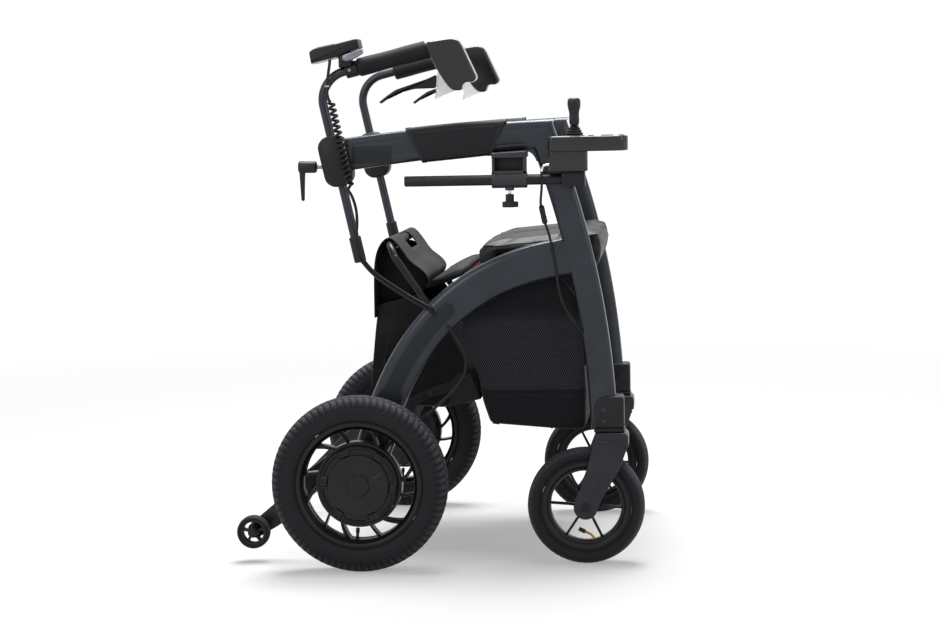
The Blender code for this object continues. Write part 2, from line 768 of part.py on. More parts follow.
rear_centre = (0.0, REAR_TRACK, REAR_RADIUS)
pair(
    "rear_tyre",
    tyre(REAR_RADIUS, REAR_TYRE_HALF, REAR_RIM_RADIUS + GAP, 0.021, rear_centre, REAR_SIDES),
    "tyre",
    rear_centre,
)
rim = ring(
    [(REAR_RIM_INNER, 0.014), (REAR_RIM_INNER + 0.008, 0.0215), (REAR_RIM_RADIUS, 0.0225)], rear_centre,
    REAR_SIDES
)
spokes = []
for turn in range(6):
    for start, sweep, thick in ((-16.0, 7.0, 0.0036), (4.0, 15.0, 0.0052)):
        spokes.append(
            vane(rear_centre, 0.011, thick, 0.0715, REAR_RIM_INNER + 0.004, 60 * turn + start, sweep)
        )
inner_ring = ring([(MOTOR_RADIUS + GAP, 0.0125), (SPOKE_RING_RADIUS, 0.0125)], rear_centre, REAR_SIDES)
join(rim, gathered(spokes), inner_ring)
pair("rear_rim", rim, "black", rear_centre)
motor = turned(
    [
        (0.0, 0.309), (AXLE_RADIUS + GAP, 0.309), (AXLE_RADIUS + GAP, MOTOR_BACK), (0.060, MOTOR_BACK),
        (MOTOR_RADIUS, 0.280), (MOTOR_RADIUS, 0.3185), (0.0645, 0.3215), (0.0565, 0.3245),
        (0.0190, 0.3255), (0.0185, MOTOR_FACE), (0.0, MOTOR_FACE),
    ],
    (0.0, 0.0, REAR_RADIUS),
    sides=REAR_SIDES,
)
pair("hub_motor", motor, "gloss", rear_centre)

front_centre = (WHEELBASE, FRAME_Y, FRONT_RADIUS)
pair(
    "front_tyre",
    tyre(FRONT_RADIUS, FRONT_TYRE_HALF, FRONT_RIM_RADIUS + GAP, 0.0135, front_centre, FRONT_SIDES),
    "tyre",
    front_centre,
)
front_rim = ring(
    [(FRONT_RIM_INNER, 0.008), (FRONT_RIM_INNER + 0.009, 0.0135), (FRONT_RIM_RADIUS, 0.0145)], front_centre,
    FRONT_SIDES
)
hub = ring([(0.0053, FORK_INNER - GAP), (0.0125, FORK_INNER - GAP)], front_centre, 12)
thin = [
    vane(front_centre, 0.0045, 0.0045, 0.0115, FRONT_RIM_INNER + 0.002, 60 * turn - 4, 0.0, 1)
    for turn in range(6)
]
join(front_rim, gathered(thin), hub)
pair("front_rim", front_rim, "black", front_centre)

# Caster forks, each with its swivel shaft and its axle bolt
boss = [
    (
        WHEELBASE + 0.0205 * math.cos(math.radians(a)),
        FRONT_RADIUS + 0.0205 * math.sin(math.radians(a)),
    )
    for a in range(160, 361, 25)
]
fork = prism(
    [
        (SWIVEL_X - 0.0257, FORK_TOP), (SWIVEL_X - 0.0270, FORK_TOP - 0.0072),
        (WHEELBASE, FRONT_RADIUS + 0.0567), *boss,
        (WHEELBASE + 0.0308, FRONT_RADIUS + 0.0202), (SWIVEL_X + 0.0145, FORK_CROWN - 0.0395),
        (SWIVEL_X + 0.0260, FORK_CROWN - 0.0082), (SWIVEL_X + 0.0306, FORK_CROWN),
        (SWIVEL_X + 0.0306, FORK_TOP - 0.0052),
        (SWIVEL_X + 0.0260, FORK_TOP),
    ],
    FRAME_Y - FORK_OUTER,
    FRAME_Y + FORK_OUTER,
)
wheel_room = box(
    (WHEELBASE - FRONT_RADIUS, FRAME_Y - FORK_INNER, 0.0),
    (WHEELBASE + FRONT_RADIUS, FRAME_Y + FORK_INNER, FORK_CROWN)
)
cut(fork, wheel_room)
join(
    fork,
    swivel_rod(FORK_TOP - 0.0102, FORK_TOP + 0.0300, PIN_RADIUS),
    rod((WHEELBASE, FRAME_Y - 0.0300, FRONT_RADIUS), (WHEELBASE, FRAME_Y + 0.0300, FRONT_RADIUS), 0.005, 12),
    rod((WHEELBASE, FRAME_Y - 0.0355, FRONT_RADIUS), (WHEELBASE, FRAME_Y - 0.0310, FRONT_RADIUS), 0.008, 12),
    rod((WHEELBASE, FRAME_Y + 0.0310, FRONT_RADIUS), (WHEELBASE, FRAME_Y + 0.0355, FRONT_RADIUS), 0.008, 12),
)
pair("caster_fork", fork, "frame", (SWIVEL_X, FRAME_Y, FORK_TOP - 0.0102))


# Anti-tip arms and wheels
def around(centre, radius, first, last, step):
    return [
        (centre[0] + radius * math.cos(math.radians(a)), centre[1] + radius * math.sin(math.radians(a)))
        for a in range(first, last + 1, step)
    ]


tip_outline = around(TIP_AXLE, 0.0140, 130, 300, 34) + [
    (-0.1574, 0.0629), (-0.0837, 0.1274), (-0.0400, 0.1640)
]
tip_outline += around(TIP_PIVOT, 0.0190, -60, 100, 40) + [
    (-0.0496, 0.2005), (-0.1079, 0.1596), (-0.1688, 0.0990)
]
tip_arm = prism(tip_outline, FRAME_Y - FRAME_HALF - GAP - 0.012, FRAME_Y - FRAME_HALF - GAP, chamfer=0.002)
wheel_y = FRAME_Y - 0.004
join(
    tip_arm,
    rod((TIP_PIVOT[0], 0.2100, TIP_PIVOT[1]), (TIP_PIVOT[0], 0.2282, TIP_PIVOT[1]), PIN_RADIUS, 12),
    rod((TIP_AXLE[0], 0.2100, TIP_AXLE[1]), (TIP_AXLE[0], wheel_y + 0.0125, TIP_AXLE[1]), 0.004, 12),
    rod(
        (TIP_AXLE[0], wheel_y + 0.0113, TIP_AXLE[1]), (TIP_AXLE[0], wheel_y + 0.0145, TIP_AXLE[1]), 0.007, 12
    ),
)
pair("antitip_arm", tip_arm, "black", (TIP_PIVOT[0], FRAME_Y, TIP_PIVOT[1]))
tip_wheel = ring(
    [(0.0043, 0.011), (0.0240, 0.011), (TIP_RADIUS, 0.0085)], (TIP_AXLE[0], wheel_y, TIP_AXLE[1]), 20
)
pair("antitip_wheel", tip_wheel, "tyre", (TIP_AXLE[0], wheel_y, TIP_AXLE[1]))


# Handles
def block_point(across, along):
    """A point by its distance ahead of the stem's axis and above the block's middle."""
    far = (BLOCK_Z - STEM_FOOT[1]) / STEM_WAY[1] + along
    x, z = stem_at(far)
    return x + across * STEM_WAY[1], z - across * STEM_WAY[0]


half_deep = BLOCK_DEPTH / 2
half_long = BLOCK_LONG / 2
block = prism(
    [
        block_point(a, b)
        for a, b in (
            (-half_deep, 0.012 - half_long), (-half_deep, half_long - 0.012), (0.012 - half_deep, half_long),
            (half_deep - 0.012, half_long), (half_deep, half_long - 0.012), (half_deep, 0.012 - half_long),
            (half_deep - 0.012, -half_long), (0.012 - half_deep, -half_long),
        )
    ],
    FRAME_Y - BLOCK_HALF,
    FRAME_Y + BLOCK_HALF,
    chamfer=0.003,
)
bore_low = stem_at(0.11)
bore_high = stem_at(0.25)
CLAMP_Z = 0.6925
cut(
    block,
    rod((bore_low[0], FRAME_Y, bore_low[1]), (bore_high[0], FRAME_Y, bore_high[1]), STEM_RADIUS + GAP, 16),
    rod((-0.085, FRAME_Y, CLAMP_Z), (-0.0560, FRAME_Y, CLAMP_Z), 0.0043, 12),
)
pair("clamp_block", block, "black", (BLOCK_DEPTH - 0.0885, FRAME_Y, BLOCK_Z))
clamp = loft(
    [
        [(x0, FRAME_Y - w, z), (x1, FRAME_Y - w, z), (x1, FRAME_Y + w, z), (x0, FRAME_Y + w, z)]
        for x0, x1, w, z in (
            (-0.1025, -0.0925, 0.0060, CLAMP_Z), (-0.1022, -0.0935, 0.0056, 0.6680),
            (-0.1010, -0.0948, 0.0040, 0.6340)
        )
    ]
)
join(
    clamp,
    turned(
        [(0.0, -0.1037), (0.0090, -0.1037), (0.0105, -0.1020), (0.0105, -0.0740), (0.0088, -0.0722),
         (0.0040, -0.0722), (0.0040, -0.0563), (0.0, -0.0563)],
        (0.0, FRAME_Y, CLAMP_Z),
        "X",
        14,
    ),
)
pair("clamp_lever", clamp, "black", (-0.088, FRAME_Y, CLAMP_Z))

sleeve_way = Vector((STEM_WAY[0], 0.0, STEM_WAY[1]))
sleeve = turned(
    [(0.0, 0.0), (0.0085, 0.0), (SLEEVE_RADIUS, 0.002), (SLEEVE_RADIUS, SLEEVE_LENGTH),
     (STEM_RADIUS + GAP, SLEEVE_LENGTH), (STEM_RADIUS + GAP, 0.004), (0.0, 0.004)],
    (STEM_FOOT[0], FRAME_Y, STEM_FOOT[1]),
    sleeve_way,
    14,
)
pair("stem_foot", sleeve, "black", (STEM_FOOT[0], FRAME_Y, STEM_FOOT[1]))


def stem_ring(place, slope, radius, sides=14):
    section = [
        (radius * math.cos(2 * math.pi * i / sides), radius * math.sin(2 * math.pi * i / sides))
        for i in range(sides)
    ]
    return across_path(place, slope, section)


stem_slope = math.atan2(STEM_WAY[1], STEM_WAY[0])
grip_slope = math.atan2(GRIP_WAY[1], GRIP_WAY[0])
bend = stem_slope - grip_slope
tangent = STEM_BEND_RADIUS * math.tan(bend / 2)
bend_start = (STEM_CORNER[0] - tangent * STEM_WAY[0], STEM_CORNER[1] - tangent * STEM_WAY[1])
stem_rings = [stem_ring(stem_at(0.0043), stem_slope, STEM_RADIUS)]
bend_middle = (bend_start[0] + STEM_BEND_RADIUS * STEM_WAY[1], bend_start[1] - STEM_BEND_RADIUS * STEM_WAY[0])
for i in range(8):
    slope = stem_slope - bend * i / 7
    place = (
        bend_middle[0] - STEM_BEND_RADIUS * math.sin(slope),
        bend_middle[1] + STEM_BEND_RADIUS * math.cos(slope),
    )
    stem_rings.append(stem_ring(place, slope, STEM_RADIUS))
stem_rings.append(stem_ring(grip_at(STEM_END_X - 0.0005), grip_slope, STEM_RADIUS))
pair("handle_stem", loft(stem_rings), "frame", (STEM_FOOT[0], FRAME_Y, STEM_FOOT[1]))

HOUSING_REAR = ((0.1194, 0.9009), (0.1411, 0.8549))
rear_way = unit(HOUSING_REAR[0][0] - HOUSING_REAR[1][0], HOUSING_REAR[0][1] - HOUSING_REAR[1][1])
rear_out = (-rear_way[1], rear_way[0])
grip_end = ((HOUSING_REAR[0][0] + GAP * rear_out[0], HOUSING_REAR[0][1] + GAP * rear_out[1]), rear_out)


def grip_rings(radius, shaved):
    rings = [
        stem_ring(grip_at(GRIP_START_X), grip_slope, radius - shaved),
        stem_ring(grip_at(GRIP_START_X + 0.0025), grip_slope, radius),
        stem_ring(grip_at(0.075), grip_slope, radius),
        slid(stem_ring(grip_at(0.10), grip_slope, radius), grip_slope, *grip_end),
    ]
    return rings


pair(
    "grip",
    pipe(grip_rings(GRIP_RADIUS, 0.002), grip_rings(STEM_RADIUS + GAP, 0.0)),
    "grip",
    (0.06, FRAME_Y, grip_at(0.06)[1]),
)

brake = prism(
    [
        HOUSING_REAR[0], (0.1781, 0.9090), (0.2100, 0.8392), (0.2016, 0.8319), (0.1865, 0.8329),
        (0.1837, 0.8186),
        (0.1673, 0.8184), (0.1564, 0.8303), (0.1441, 0.8505), HOUSING_REAR[1],
    ],
    FRAME_Y - 0.019,
    FRAME_Y + 0.019,
    chamfer=0.004,
)
bore_from = grip_at(0.10)
bore_to = grip_at(STEM_END_X)
SLOT_HALF = 0.0038
cut(
    brake,
    rod((bore_from[0], FRAME_Y, bore_from[1]), (bore_to[0], FRAME_Y, bore_to[1]), STEM_RADIUS + GAP, 14),
    box((0.125, FRAME_Y - SLOT_HALF, 0.800), (0.1785, FRAME_Y + SLOT_HALF, 0.8545)),
)
join(
    brake,
    rod(
        (LEVER_PIVOT[0], FRAME_Y - 0.007, LEVER_PIVOT[1]), (LEVER_PIVOT[0], FRAME_Y + 0.007, LEVER_PIVOT[1]),
        0.003, 10
    )
)
pair("brake_housing", brake, "gloss", (0.165, FRAME_Y, 0.865))

blade = prism(
    [
        (0.0395, 0.8015), (0.0540, 0.8125), (0.0683, 0.8218), (0.0962, 0.8308), (0.1280, 0.8410),
        (0.1290, 0.8228), (0.1006, 0.8226), (0.0751, 0.8165), (0.0560, 0.8075), (0.0425, 0.7985),
    ],
    FRAME_Y - 0.0065,
    FRAME_Y + 0.0065,
    chamfer=0.001,
)
web = prism(
    [(
        0.1240, 0.8385
    ), (0.1403, 0.8472), (0.1560, 0.8500), (0.1630, 0.8420), (0.1665, 0.8177), (0.1353, 0.8041),
     (0.1300, 0.8200), (0.1240, 0.8245)],
    FRAME_Y - SLOT_HALF + GAP,
    FRAME_Y + SLOT_HALF - GAP,
)
root = rod(
    (LEVER_PIVOT[0], FRAME_Y - SLOT_HALF + 1.5 * GAP, LEVER_PIVOT[1]),
    (LEVER_PIVOT[0], FRAME_Y + SLOT_HALF - 1.5 * GAP, LEVER_PIVOT[1]),
    0.0118,
    18,
)
join(blade, web, root)
cut(
    blade,
    rod(
        (LEVER_PIVOT[0], FRAME_Y - 0.01, LEVER_PIVOT[1]), (LEVER_PIVOT[0], FRAME_Y + 0.01, LEVER_PIVOT[1]),
        0.0033, 10
    )
)
pair("brake_lever", blade, "lever", (LEVER_PIVOT[0], FRAME_Y, LEVER_PIVOT[1]))

# Padded sleeve round each arm tube
sleeve_ends = (((0.085, 0.7560), (0.113, 0.6975)), ((0.258, 0.7690), (0.2295, 0.7060)))


def sleeve_rings(grow):
    rear = unit(sleeve_ends[0][0][0] - sleeve_ends[0][1][0], sleeve_ends[0][0][1] - sleeve_ends[0][1][1])
    ahead = unit(sleeve_ends[1][0][0] - sleeve_ends[1][1][0], sleeve_ends[1][0][1] - sleeve_ends[1][1][1])
    return [
        arm_ring(0.120, grow, (sleeve_ends[0][0], (-rear[1], rear[0]))),
        arm_ring(0.150, grow),
        arm_ring(0.190, grow),
        arm_ring(0.220, grow, (sleeve_ends[1][0], (-ahead[1], ahead[0]))),
    ]


pair("armrest_sleeve", pipe(sleeve_rings(0.0042), sleeve_rings(GAP)), "fabric", (0.17, FRAME_Y, 0.733))


# Hoops behind the seat that carry the back flap
def bent_rod(route, radius, sides=8):
    """A rod of even thickness along a 3-D route."""
    points = [Vector(p) for p in route]
    ways = []
    for i in range(len(points)):
        ahead = points[min(i + 1, len(points) - 1)] - points[i]
        behind = points[i] - points[max(i - 1, 0)]
        ways.append((ahead.normalized() + behind.normalized()).normalized())
    across = frame_about(ways[0])[0]
    rings = []
    for point, way in zip(points, ways):
        across = (across - way * across.dot(way)).normalized()
        up = way.cross(across)
        rings.append(
            [
                point + (
                    across * math.cos(2 * math.pi * i / sides) + up * math.sin(2 * math.pi * i / sides)
                ) * radius
                for i in range(sides)
            ]
        )
    return loft(rings)


HOOP_INNER = 0.118
hoop = bent_rod(
    [
        (0.1290, FRAME_Y - FRAME_HALF - GAP, 0.4240), (0.1290, 0.2070, 0.4240), (0.1260, 0.2010, 0.4285),
        (0.1180, 0.1985, 0.4395), (0.0625, 0.1900, 0.5190), (0.0530, 0.1860, 0.5330),
        (0.0465, 0.1770, 0.5455),
        (0.0420, 0.1640, 0.5515), (0.0410, 0.1500, 0.5528), (0.0410, HOOP_INNER, 0.5528),
    ],
    0.006,
)
pair("back_hoop", hoop, "black", (0.1290, FRAME_Y - FRAME_HALF, 0.4240))

# Back flap draped over the hoops, with its hand slot and the roll at its lower front edge
FLAP_HALF = 0.160
flap_outer = [
    (0.0100, 0.4224), (0.0105, 0.4800), (0.0120, 0.5150), (0.0170, 0.5400), (0.0270, 0.5580),
    (0.0390, 0.5655),
    (0.0500, 0.5610), (0.0640, 0.5440), (0.0780, 0.5240), (0.0980, 0.5070), (0.1080, 0.4930),
    (0.1060, 0.4800),
]
flap_inner = [
    (0.1010, 0.4815), (0.1025, 0.4920), (0.0945, 0.5035), (0.0745, 0.5205), (0.0605, 0.5410),
    (0.0475, 0.5568),
    (0.0390, 0.5605), (0.0300, 0.5545), (0.0212, 0.5380), (0.0164, 0.5140), (0.0148, 0.4795),
    (0.0142, 0.4224),
]
flap = prism(flap_outer + flap_inner, -FLAP_HALF, FLAP_HALF)
roll = prism(
    [
        (0.0995, 0.4765), (0.1180, 0.4915), (0.1400, 0.5040), (0.1600, 0.5125), (0.1740, 0.5135),
        (0.1790, 0.5070),
        (0.1695, 0.4950), (0.1428, 0.4840), (0.1180, 0.4750), (0.1040, 0.4715),
    ],
    -FLAP_HALF - 0.004,
    FLAP_HALF + 0.004,
    chamfer=0.004,
)
join(flap, roll)
cut(flap, box((0.0480, -0.055, 0.518), (0.0720, 0.055, 0.575)))
node("back_flap", flap, "fabric", (0.04, 0.0, 0.56))

# Battery bag, open at the top, with the battery pack in it
BATTERY_BAG_HALF = 0.150
battery_outline = [
    (-0.0015, 0.2740), (0.0162, 0.4380), (0.0210, 0.4450), (0.0960, 0.4640), (0.1020, 0.4600),
    (0.1182, 0.4381),
    (0.1816, 0.3238), (0.1990, 0.2755), (0.1304, 0.2603), (0.0625, 0.2638),
]
battery_bag = prism(battery_outline, -BATTERY_BAG_HALF, BATTERY_BAG_HALF, chamfer=0.006)
inner_bag = inset(battery_outline, 0.004)
inner_bag[2:5] = [np.array((0.0220, 0.60)), np.array((0.0960, 0.60)), np.array((0.0985, 0.4600))]
cut(battery_bag, prism(inner_bag, -BATTERY_BAG_HALF + 0.005, BATTERY_BAG_HALF - 0.005))
node("battery_bag", battery_bag, "fabric", (0.10, 0.0, 0.36))
PACK = ((0.050, -0.135, 0.2702), (0.140, 0.030, 0.3880))
pack = prism(
    [(PACK[0][0], PACK[0][2]), (PACK[1][0], PACK[0][2]), (PACK[1][0], PACK[1][2]), (PACK[0][0], PACK[1][2])],
    PACK[0][1],
    PACK[1][1],
    chamfer=0.004,
)
node("battery_pack", pack, "black", (0.095, -0.052, 0.33))

# Shopping bag between the arc tubes and the legs: tall sides, low ends, open at the top
hem = []
for t, lap in (
    (0.62, 0.47), (0.66, 0.02), (0.78, 0.02), (0.86, 0.02), (0.93, 0.02), (0.965, 0.47), (0.98, 0.47)
):
    (x, z), slope, depth = arc_place(t)  # lap: how far the hem reaches up the tube's flat inner side
    far = (1 - lap) * depth / 2
    hem.append((x + far * math.sin(slope), z - far * math.cos(slope)))
bag_outline = [
    (0.3700, 0.4620), (0.3800, 0.3800), (0.3855, 0.3000), (0.3835, 0.2300), (0.3305, 0.2323),
    (0.2243, 0.2416),
    (0.2181, 0.2451), (0.2108, 0.2663), (0.2058, 0.2821), (0.2007, 0.3260), (0.1807, 0.3717),
    (0.1715, 0.4015),
    (0.1770, 0.4170), *hem,
]
mesh_bag = prism(bag_outline, -BAG_OUTER, BAG_OUTER, chamfer=0.002)
BAG_FLOOR = 0.006
bag_room = [
    (0.3775, 0.62), (0.3775, 0.2300 + BAG_FLOOR + 0.0015), (0.3305, 0.2323 + BAG_FLOOR),
    (0.2243, 0.2416 + BAG_FLOOR),
    (0.2175, 0.2690), (0.2125, 0.2840), (0.2070, 0.3260), (0.1870, 0.3717), (0.1500, 0.3900), (0.1500, 0.62),
]
cut(
    mesh_bag,
    prism(bag_room, -BAG_OUTER + BAG_WALL, BAG_OUTER - BAG_WALL),
    box((0.15, -BAG_OUTER + BAG_WALL, 0.3350), (0.42, BAG_OUTER - BAG_WALL, 0.62)),
)
node("mesh_bag", mesh_bag, "fabric", (0.29, 0.0, 0.24))

# Joystick side controls, on the right only
panel = prism(
    [
        (0.3370, -PANEL_INNER), (0.3310, -PANEL_INNER - 0.006), (0.3310, -PANEL_OUTER + 0.006),
        (0.3370, -PANEL_OUTER),
        (0.4450, -PANEL_OUTER), (0.4560, -PANEL_OUTER + 0.004), (0.4630, -PANEL_OUTER + 0.012),
        (0.4650, -0.2780), (0.4650, -0.2650), (0.4630, -PANEL_INNER - 0.012), (0.4560, -PANEL_INNER - 0.004),
        (0.4450, -PANEL_INNER),
    ],
    STICK_Z - 0.0255,
    STICK_Z,
    "Z",
    0.0025,
)
BODY_FLOOR = ROD_Z + 0.0132
body = prism(
    [(0.3315, -0.2885), (0.3970, -0.2885), (0.3970, -0.2520), (0.3315, -0.2520)], BODY_FLOOR, STICK_Z - 0.018,
    "Z", 0.002
)
join(panel, body)
stick_y = -(PANEL_INNER + PANEL_OUTER) / 2
node("joystick_housing", panel, "gloss", (STICK_X, stick_y, STICK_Z))
boot = turned(
    [
        (0.0165, 0.0003), (0.0165, 0.0020), (0.0120, 0.0048), (0.0135, 0.0068), (0.0095, 0.0098),
        (0.0108, 0.0120),
        (0.0075, 0.0150), (0.0075, 0.0172), (0.0046, 0.0172), (0.0046, 0.0003),
    ],
    (STICK_X, stick_y, STICK_Z),
    "Z",
    14,
    hollow=True,
)
node("joystick_boot", boot, "black", (STICK_X, stick_y, STICK_Z))
stick = turned(
    [
        (0.0, 0.0028), (0.0040, 0.0028), (0.0040, 0.0178), (0.0065, 0.0180), (0.0085, 0.0260),
        (0.0080, 0.0360),
        (0.0108, 0.0470), (0.0110, 0.0570), (0.0085, 0.0630), (0.0, 0.0640),
    ],
    (STICK_X, stick_y, STICK_Z),
    "Z",
    14,
)
node("joystick_stick", stick, "black", (STICK_X, stick_y, STICK_Z))

slide_rod = rod((ROD_START_X, -ROD_Y, ROD_Z), (0.390, -ROD_Y, ROD_Z), ROD_RADIUS, 16)
join(slide_rod, box((0.352, -ROD_Y - 0.0135, ROD_Z - 0.0128), (0.3915, -ROD_Y + 0.0135, BODY_FLOOR - GAP)))
node("joystick_rod", slide_rod, "black", (0.26, -ROD_Y, ROD_Z))

BRACKET_START = 0.234
BRACKET_END = 0.293


def arm_under(x):
    return arm_place(x)[0][1] - arm_depth(x) / 2 - 0.0004


plate = prism(
    [
        (BRACKET_START, arm_under(BRACKET_START)), ((BRACKET_START + BRACKET_END) / 2, arm_under(0.2635)),
        (BRACKET_END, arm_under(BRACKET_END)), (BRACKET_END, 0.7035), (BRACKET_START, 0.7035),
    ],
    -0.2740,
    -0.2195,
)
join(
    plate,
    box((BRACKET_START + 0.0003, -0.2720, ROD_Z + 0.0022), (BRACKET_START + 0.0048, -0.2520, 0.7050)),
    box((BRACKET_END - 0.0063, -0.2720, ROD_Z + 0.0022), (BRACKET_END - 0.0003, -0.2520, 0.7050)),
    rod((BRACKET_START - 0.0005, -ROD_Y, ROD_Z), (BRACKET_END + 0.0005, -ROD_Y, ROD_Z), 0.0138, 20),
    rod((KNOB_X, -ROD_Y, ROD_Z - 0.0178), (KNOB_X, -ROD_Y, ROD_Z - 0.0098), 0.0078, 12),
)
cut(
    plate,
    rod((BRACKET_START - 0.01, -ROD_Y, ROD_Z), (BRACKET_END + 0.01, -ROD_Y, ROD_Z), ROD_RADIUS + GAP, 16),
    rod((KNOB_X, -ROD_Y, ROD_Z - 0.0258), (KNOB_X, -ROD_Y, ROD_Z - 0.0038), 0.0033, 10),
)
node("rod_bracket", plate, "cast", (0.2635, -ROD_Y, ROD_Z))


def knob_ring(radius, z, lobes=0.0, sides=20):
    out = []
    for i in range(sides):
        angle = 2 * math.pi * i / sides
        r = radius * (1 + lobes * math.cos(5 * angle))
        out.append((KNOB_X + r * math.cos(angle), -ROD_Y + r * math.sin(angle), ROD_Z + z))
    return out


knob = loft(
    [
        knob_ring(0.0130, -0.0463, 0.11), knob_ring(0.0130, -0.0366, 0.11), knob_ring(0.0073, -0.0365),
        knob_ring(0.0070, -0.0241), knob_ring(0.0030, -0.0240), knob_ring(0.0030, -0.0096),
    ]
)
node("star_knob", knob, "black", (KNOB_X, -ROD_Y, ROD_Z - 0.0358))

# Control unit on the right handle, with its thumb paddle
unit_body = prism(
    [
        (-0.0769, 0.8890), (-0.0684, 0.8943), (-0.0307, 0.9016), (0.0013, 0.9090), (0.0069, 0.9096),
        (0.0099, 0.8939),
        (-0.0243, 0.8824), (-0.0285, 0.8797), (-0.0740, 0.8692),
    ],
    -0.2530,
    -0.2050,
    chamfer=0.0025,
)
neck = prism([(-0.0270, 0.8610), (-0.0060, 0.8640), (-0.0060, 0.8920), (-0.0270, 0.8850)], -0.2480, -0.2180)
ring_low = grip_at(-0.0170)
ring_high = grip_at(0.0030)
join(
    unit_body, neck,
    rod((ring_low[0], -FRAME_Y, ring_low[1]), (ring_high[0], -FRAME_Y, ring_high[1]), 0.0135, 16)
)
tube_low = grip_at(-0.0290)
tube_high = grip_at(0.0100)
PADDLE_PIVOT = (-0.0145, 0.8775)
cut(
    unit_body,
    rod(
        (tube_low[0], -FRAME_Y, tube_low[1]), (tube_high[0], -FRAME_Y, tube_high[1]), STEM_RADIUS + 2 * GAP,
        16
    ),
    rod((PADDLE_PIVOT[0], -0.2550, PADDLE_PIVOT[1]), (PADDLE_PIVOT[0], -0.2420, PADDLE_PIVOT[1]), 0.0023, 10),
)
node("display_unit", unit_body, "gloss", (-0.03, -FRAME_Y, 0.885))
paddle = prism(
    [(
        -0.0190, 0.8745
    ), (-0.0120, 0.8715), (0.0050, 0.8770), (0.0176, 0.8850), (0.0165, 0.8930), (0.0000, 0.8865),
     (-0.0150, 0.8830), (-0.0190, 0.8800)],
    -0.2600,
    -0.2483,
    chamfer=0.001,
)
join(
    paddle,
    rod((PADDLE_PIVOT[0], -0.2520, PADDLE_PIVOT[1]), (PADDLE_PIVOT[0], -0.2425, PADDLE_PIVOT[1]), 0.0020, 10)
)
node("thumb_paddle", paddle, "black", (PADDLE_PIVOT[0], -0.2483, PADDLE_PIVOT[1]))

# Cables, whole along their routes; the thick stretch of the first is its coil
CORD_STEP = 0.014
COIL = 0.0075 / 0.0026
control_route = spaced(
    [
        (-0.0420, -0.2470, 0.8757, 1.0), (-0.0423, -0.2475, 0.8690, 1.0), (-0.0455, -0.2510, 0.8450, 1.0),
        (-0.0470, -0.2540, 0.8230, 1.0),
        (-0.0455, -0.2560, 0.8080, 1.0),
    ],
    CORD_STEP,
)
control_route += spaced(
    [(-0.0390, -0.2590, 0.8010, COIL), (-0.0270, -0.2605, 0.7430, COIL), (-0.0110, -0.2605, 0.6660, COIL)],
    0.028
)
control_route += spaced(
    [
        (-0.0150, -0.2580, 0.6570, 1.0), (-0.0074, -0.2540, 0.6419, 1.0), (-0.0030, -0.2500, 0.6212, 1.0),
        (-0.0020, -0.2455, 0.5960, 1.0), (-0.0050, -0.2455, 0.5600, 1.0), (-0.0010, -0.2455, 0.5380, 1.0),
        (0.0063, -0.2465, 0.5270, 1.0), (0.0300, -0.2480, 0.5020, 1.0), (0.0800, -0.2500, 0.4680, 1.0),
        (0.1180, -0.2525, 0.4455, 1.0), (0.1260, -0.2494, 0.4391, 1.0),
    ],
    CORD_STEP,
)
control_route += [
    (0.1335, -0.2421, 0.4318, 1.0), (0.1400, -0.2358, 0.4255, 1.0), (0.1420, -0.2358, 0.4235, 1.0)
]
control_route += [(0.1485, -0.2422, 0.4171, 1.0)]
control_route += spaced(
    [
        (0.1560, -0.2494, 0.4099, 1.0), (0.1660, -0.2520, 0.3960, 1.0), (0.1788, -0.2530, 0.3726, 1.0),
        (0.1816, -0.2535, 0.3484, 1.0), (0.1764, -0.2540, 0.3290, 1.0), (0.1611, -0.2545, 0.3082, 1.0),
        (0.1380, -0.2550, 0.2857, 1.0), (0.1217, -0.2555, 0.2708, 1.0), (0.0985, -0.2560, 0.2545, 1.0),
        (0.0620, -0.2565, 0.2260, 1.0), (0.0380, -0.2560, 0.2040, 1.0), (0.0240, -0.2520, 0.1900, 1.0),
        (0.0185, -0.2490, 0.1845, 1.0),
    ],
    CORD_STEP,
)
cord("control_cable", control_route, 0.0026, "black", (0.0, -FRAME_Y, 0.60))
PLUG = 0.0048 / 0.0022
joystick_route = spaced(
    [
        (0.3308, -0.2740, 0.6860, 1.0), (0.3275, -0.2740, 0.6858, 1.0), (0.3225, -0.2750, 0.6790, 1.0),
        (0.3189, -0.2755, 0.6551, 1.0),
        (0.3155, -0.2640, 0.6290, 1.0),
    ],
    CORD_STEP,
)
joystick_route += [
    (0.3160, -0.2560, 0.6206, 1.0), (0.3162, -0.2555, 0.6196, PLUG), (0.3190, -0.2535, 0.6050, PLUG),
    (0.3220, -0.2525, 0.5910, PLUG), (0.3222, -0.2525, 0.5899, 1.0),
]
joystick_route += spaced(
    [
        (0.3287, -0.2510, 0.5695, 1.0), (0.3346, -0.2500, 0.5371, 1.0), (0.3390, -0.2500, 0.5115, 1.0),
        (0.3425, -0.2500, 0.4790, 1.0), (0.3500, -0.2510, 0.4530, 1.0), (0.3620, -0.2520, 0.4310, 1.0),
        (0.3725, -0.2508, 0.4155, 1.0), (0.3790, -0.2463, 0.4069, 1.0), (0.3850, -0.2417, 0.3983, 1.0),
    ],
    CORD_STEP,
)
cord("joystick_cable", joystick_route, 0.0022, "black", (0.33, -ROD_Y, 0.55))
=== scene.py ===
# %% [markdown]
# Dressing a rollator wheelchair.
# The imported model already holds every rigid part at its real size, and every joint. This script adds
# what the eye looks for: rounded edges, tyre treads, cloth, cables, and a material for each surface.
# Lengths are metres measured from the middle of the rear axle on the floor, +X forward, +Y to the left.

# %% Load the frame
import math

import bmesh
import bpy
import numpy as np
from mathutils import Matrix, Vector
from mathutils.bvhtree import BVHTree


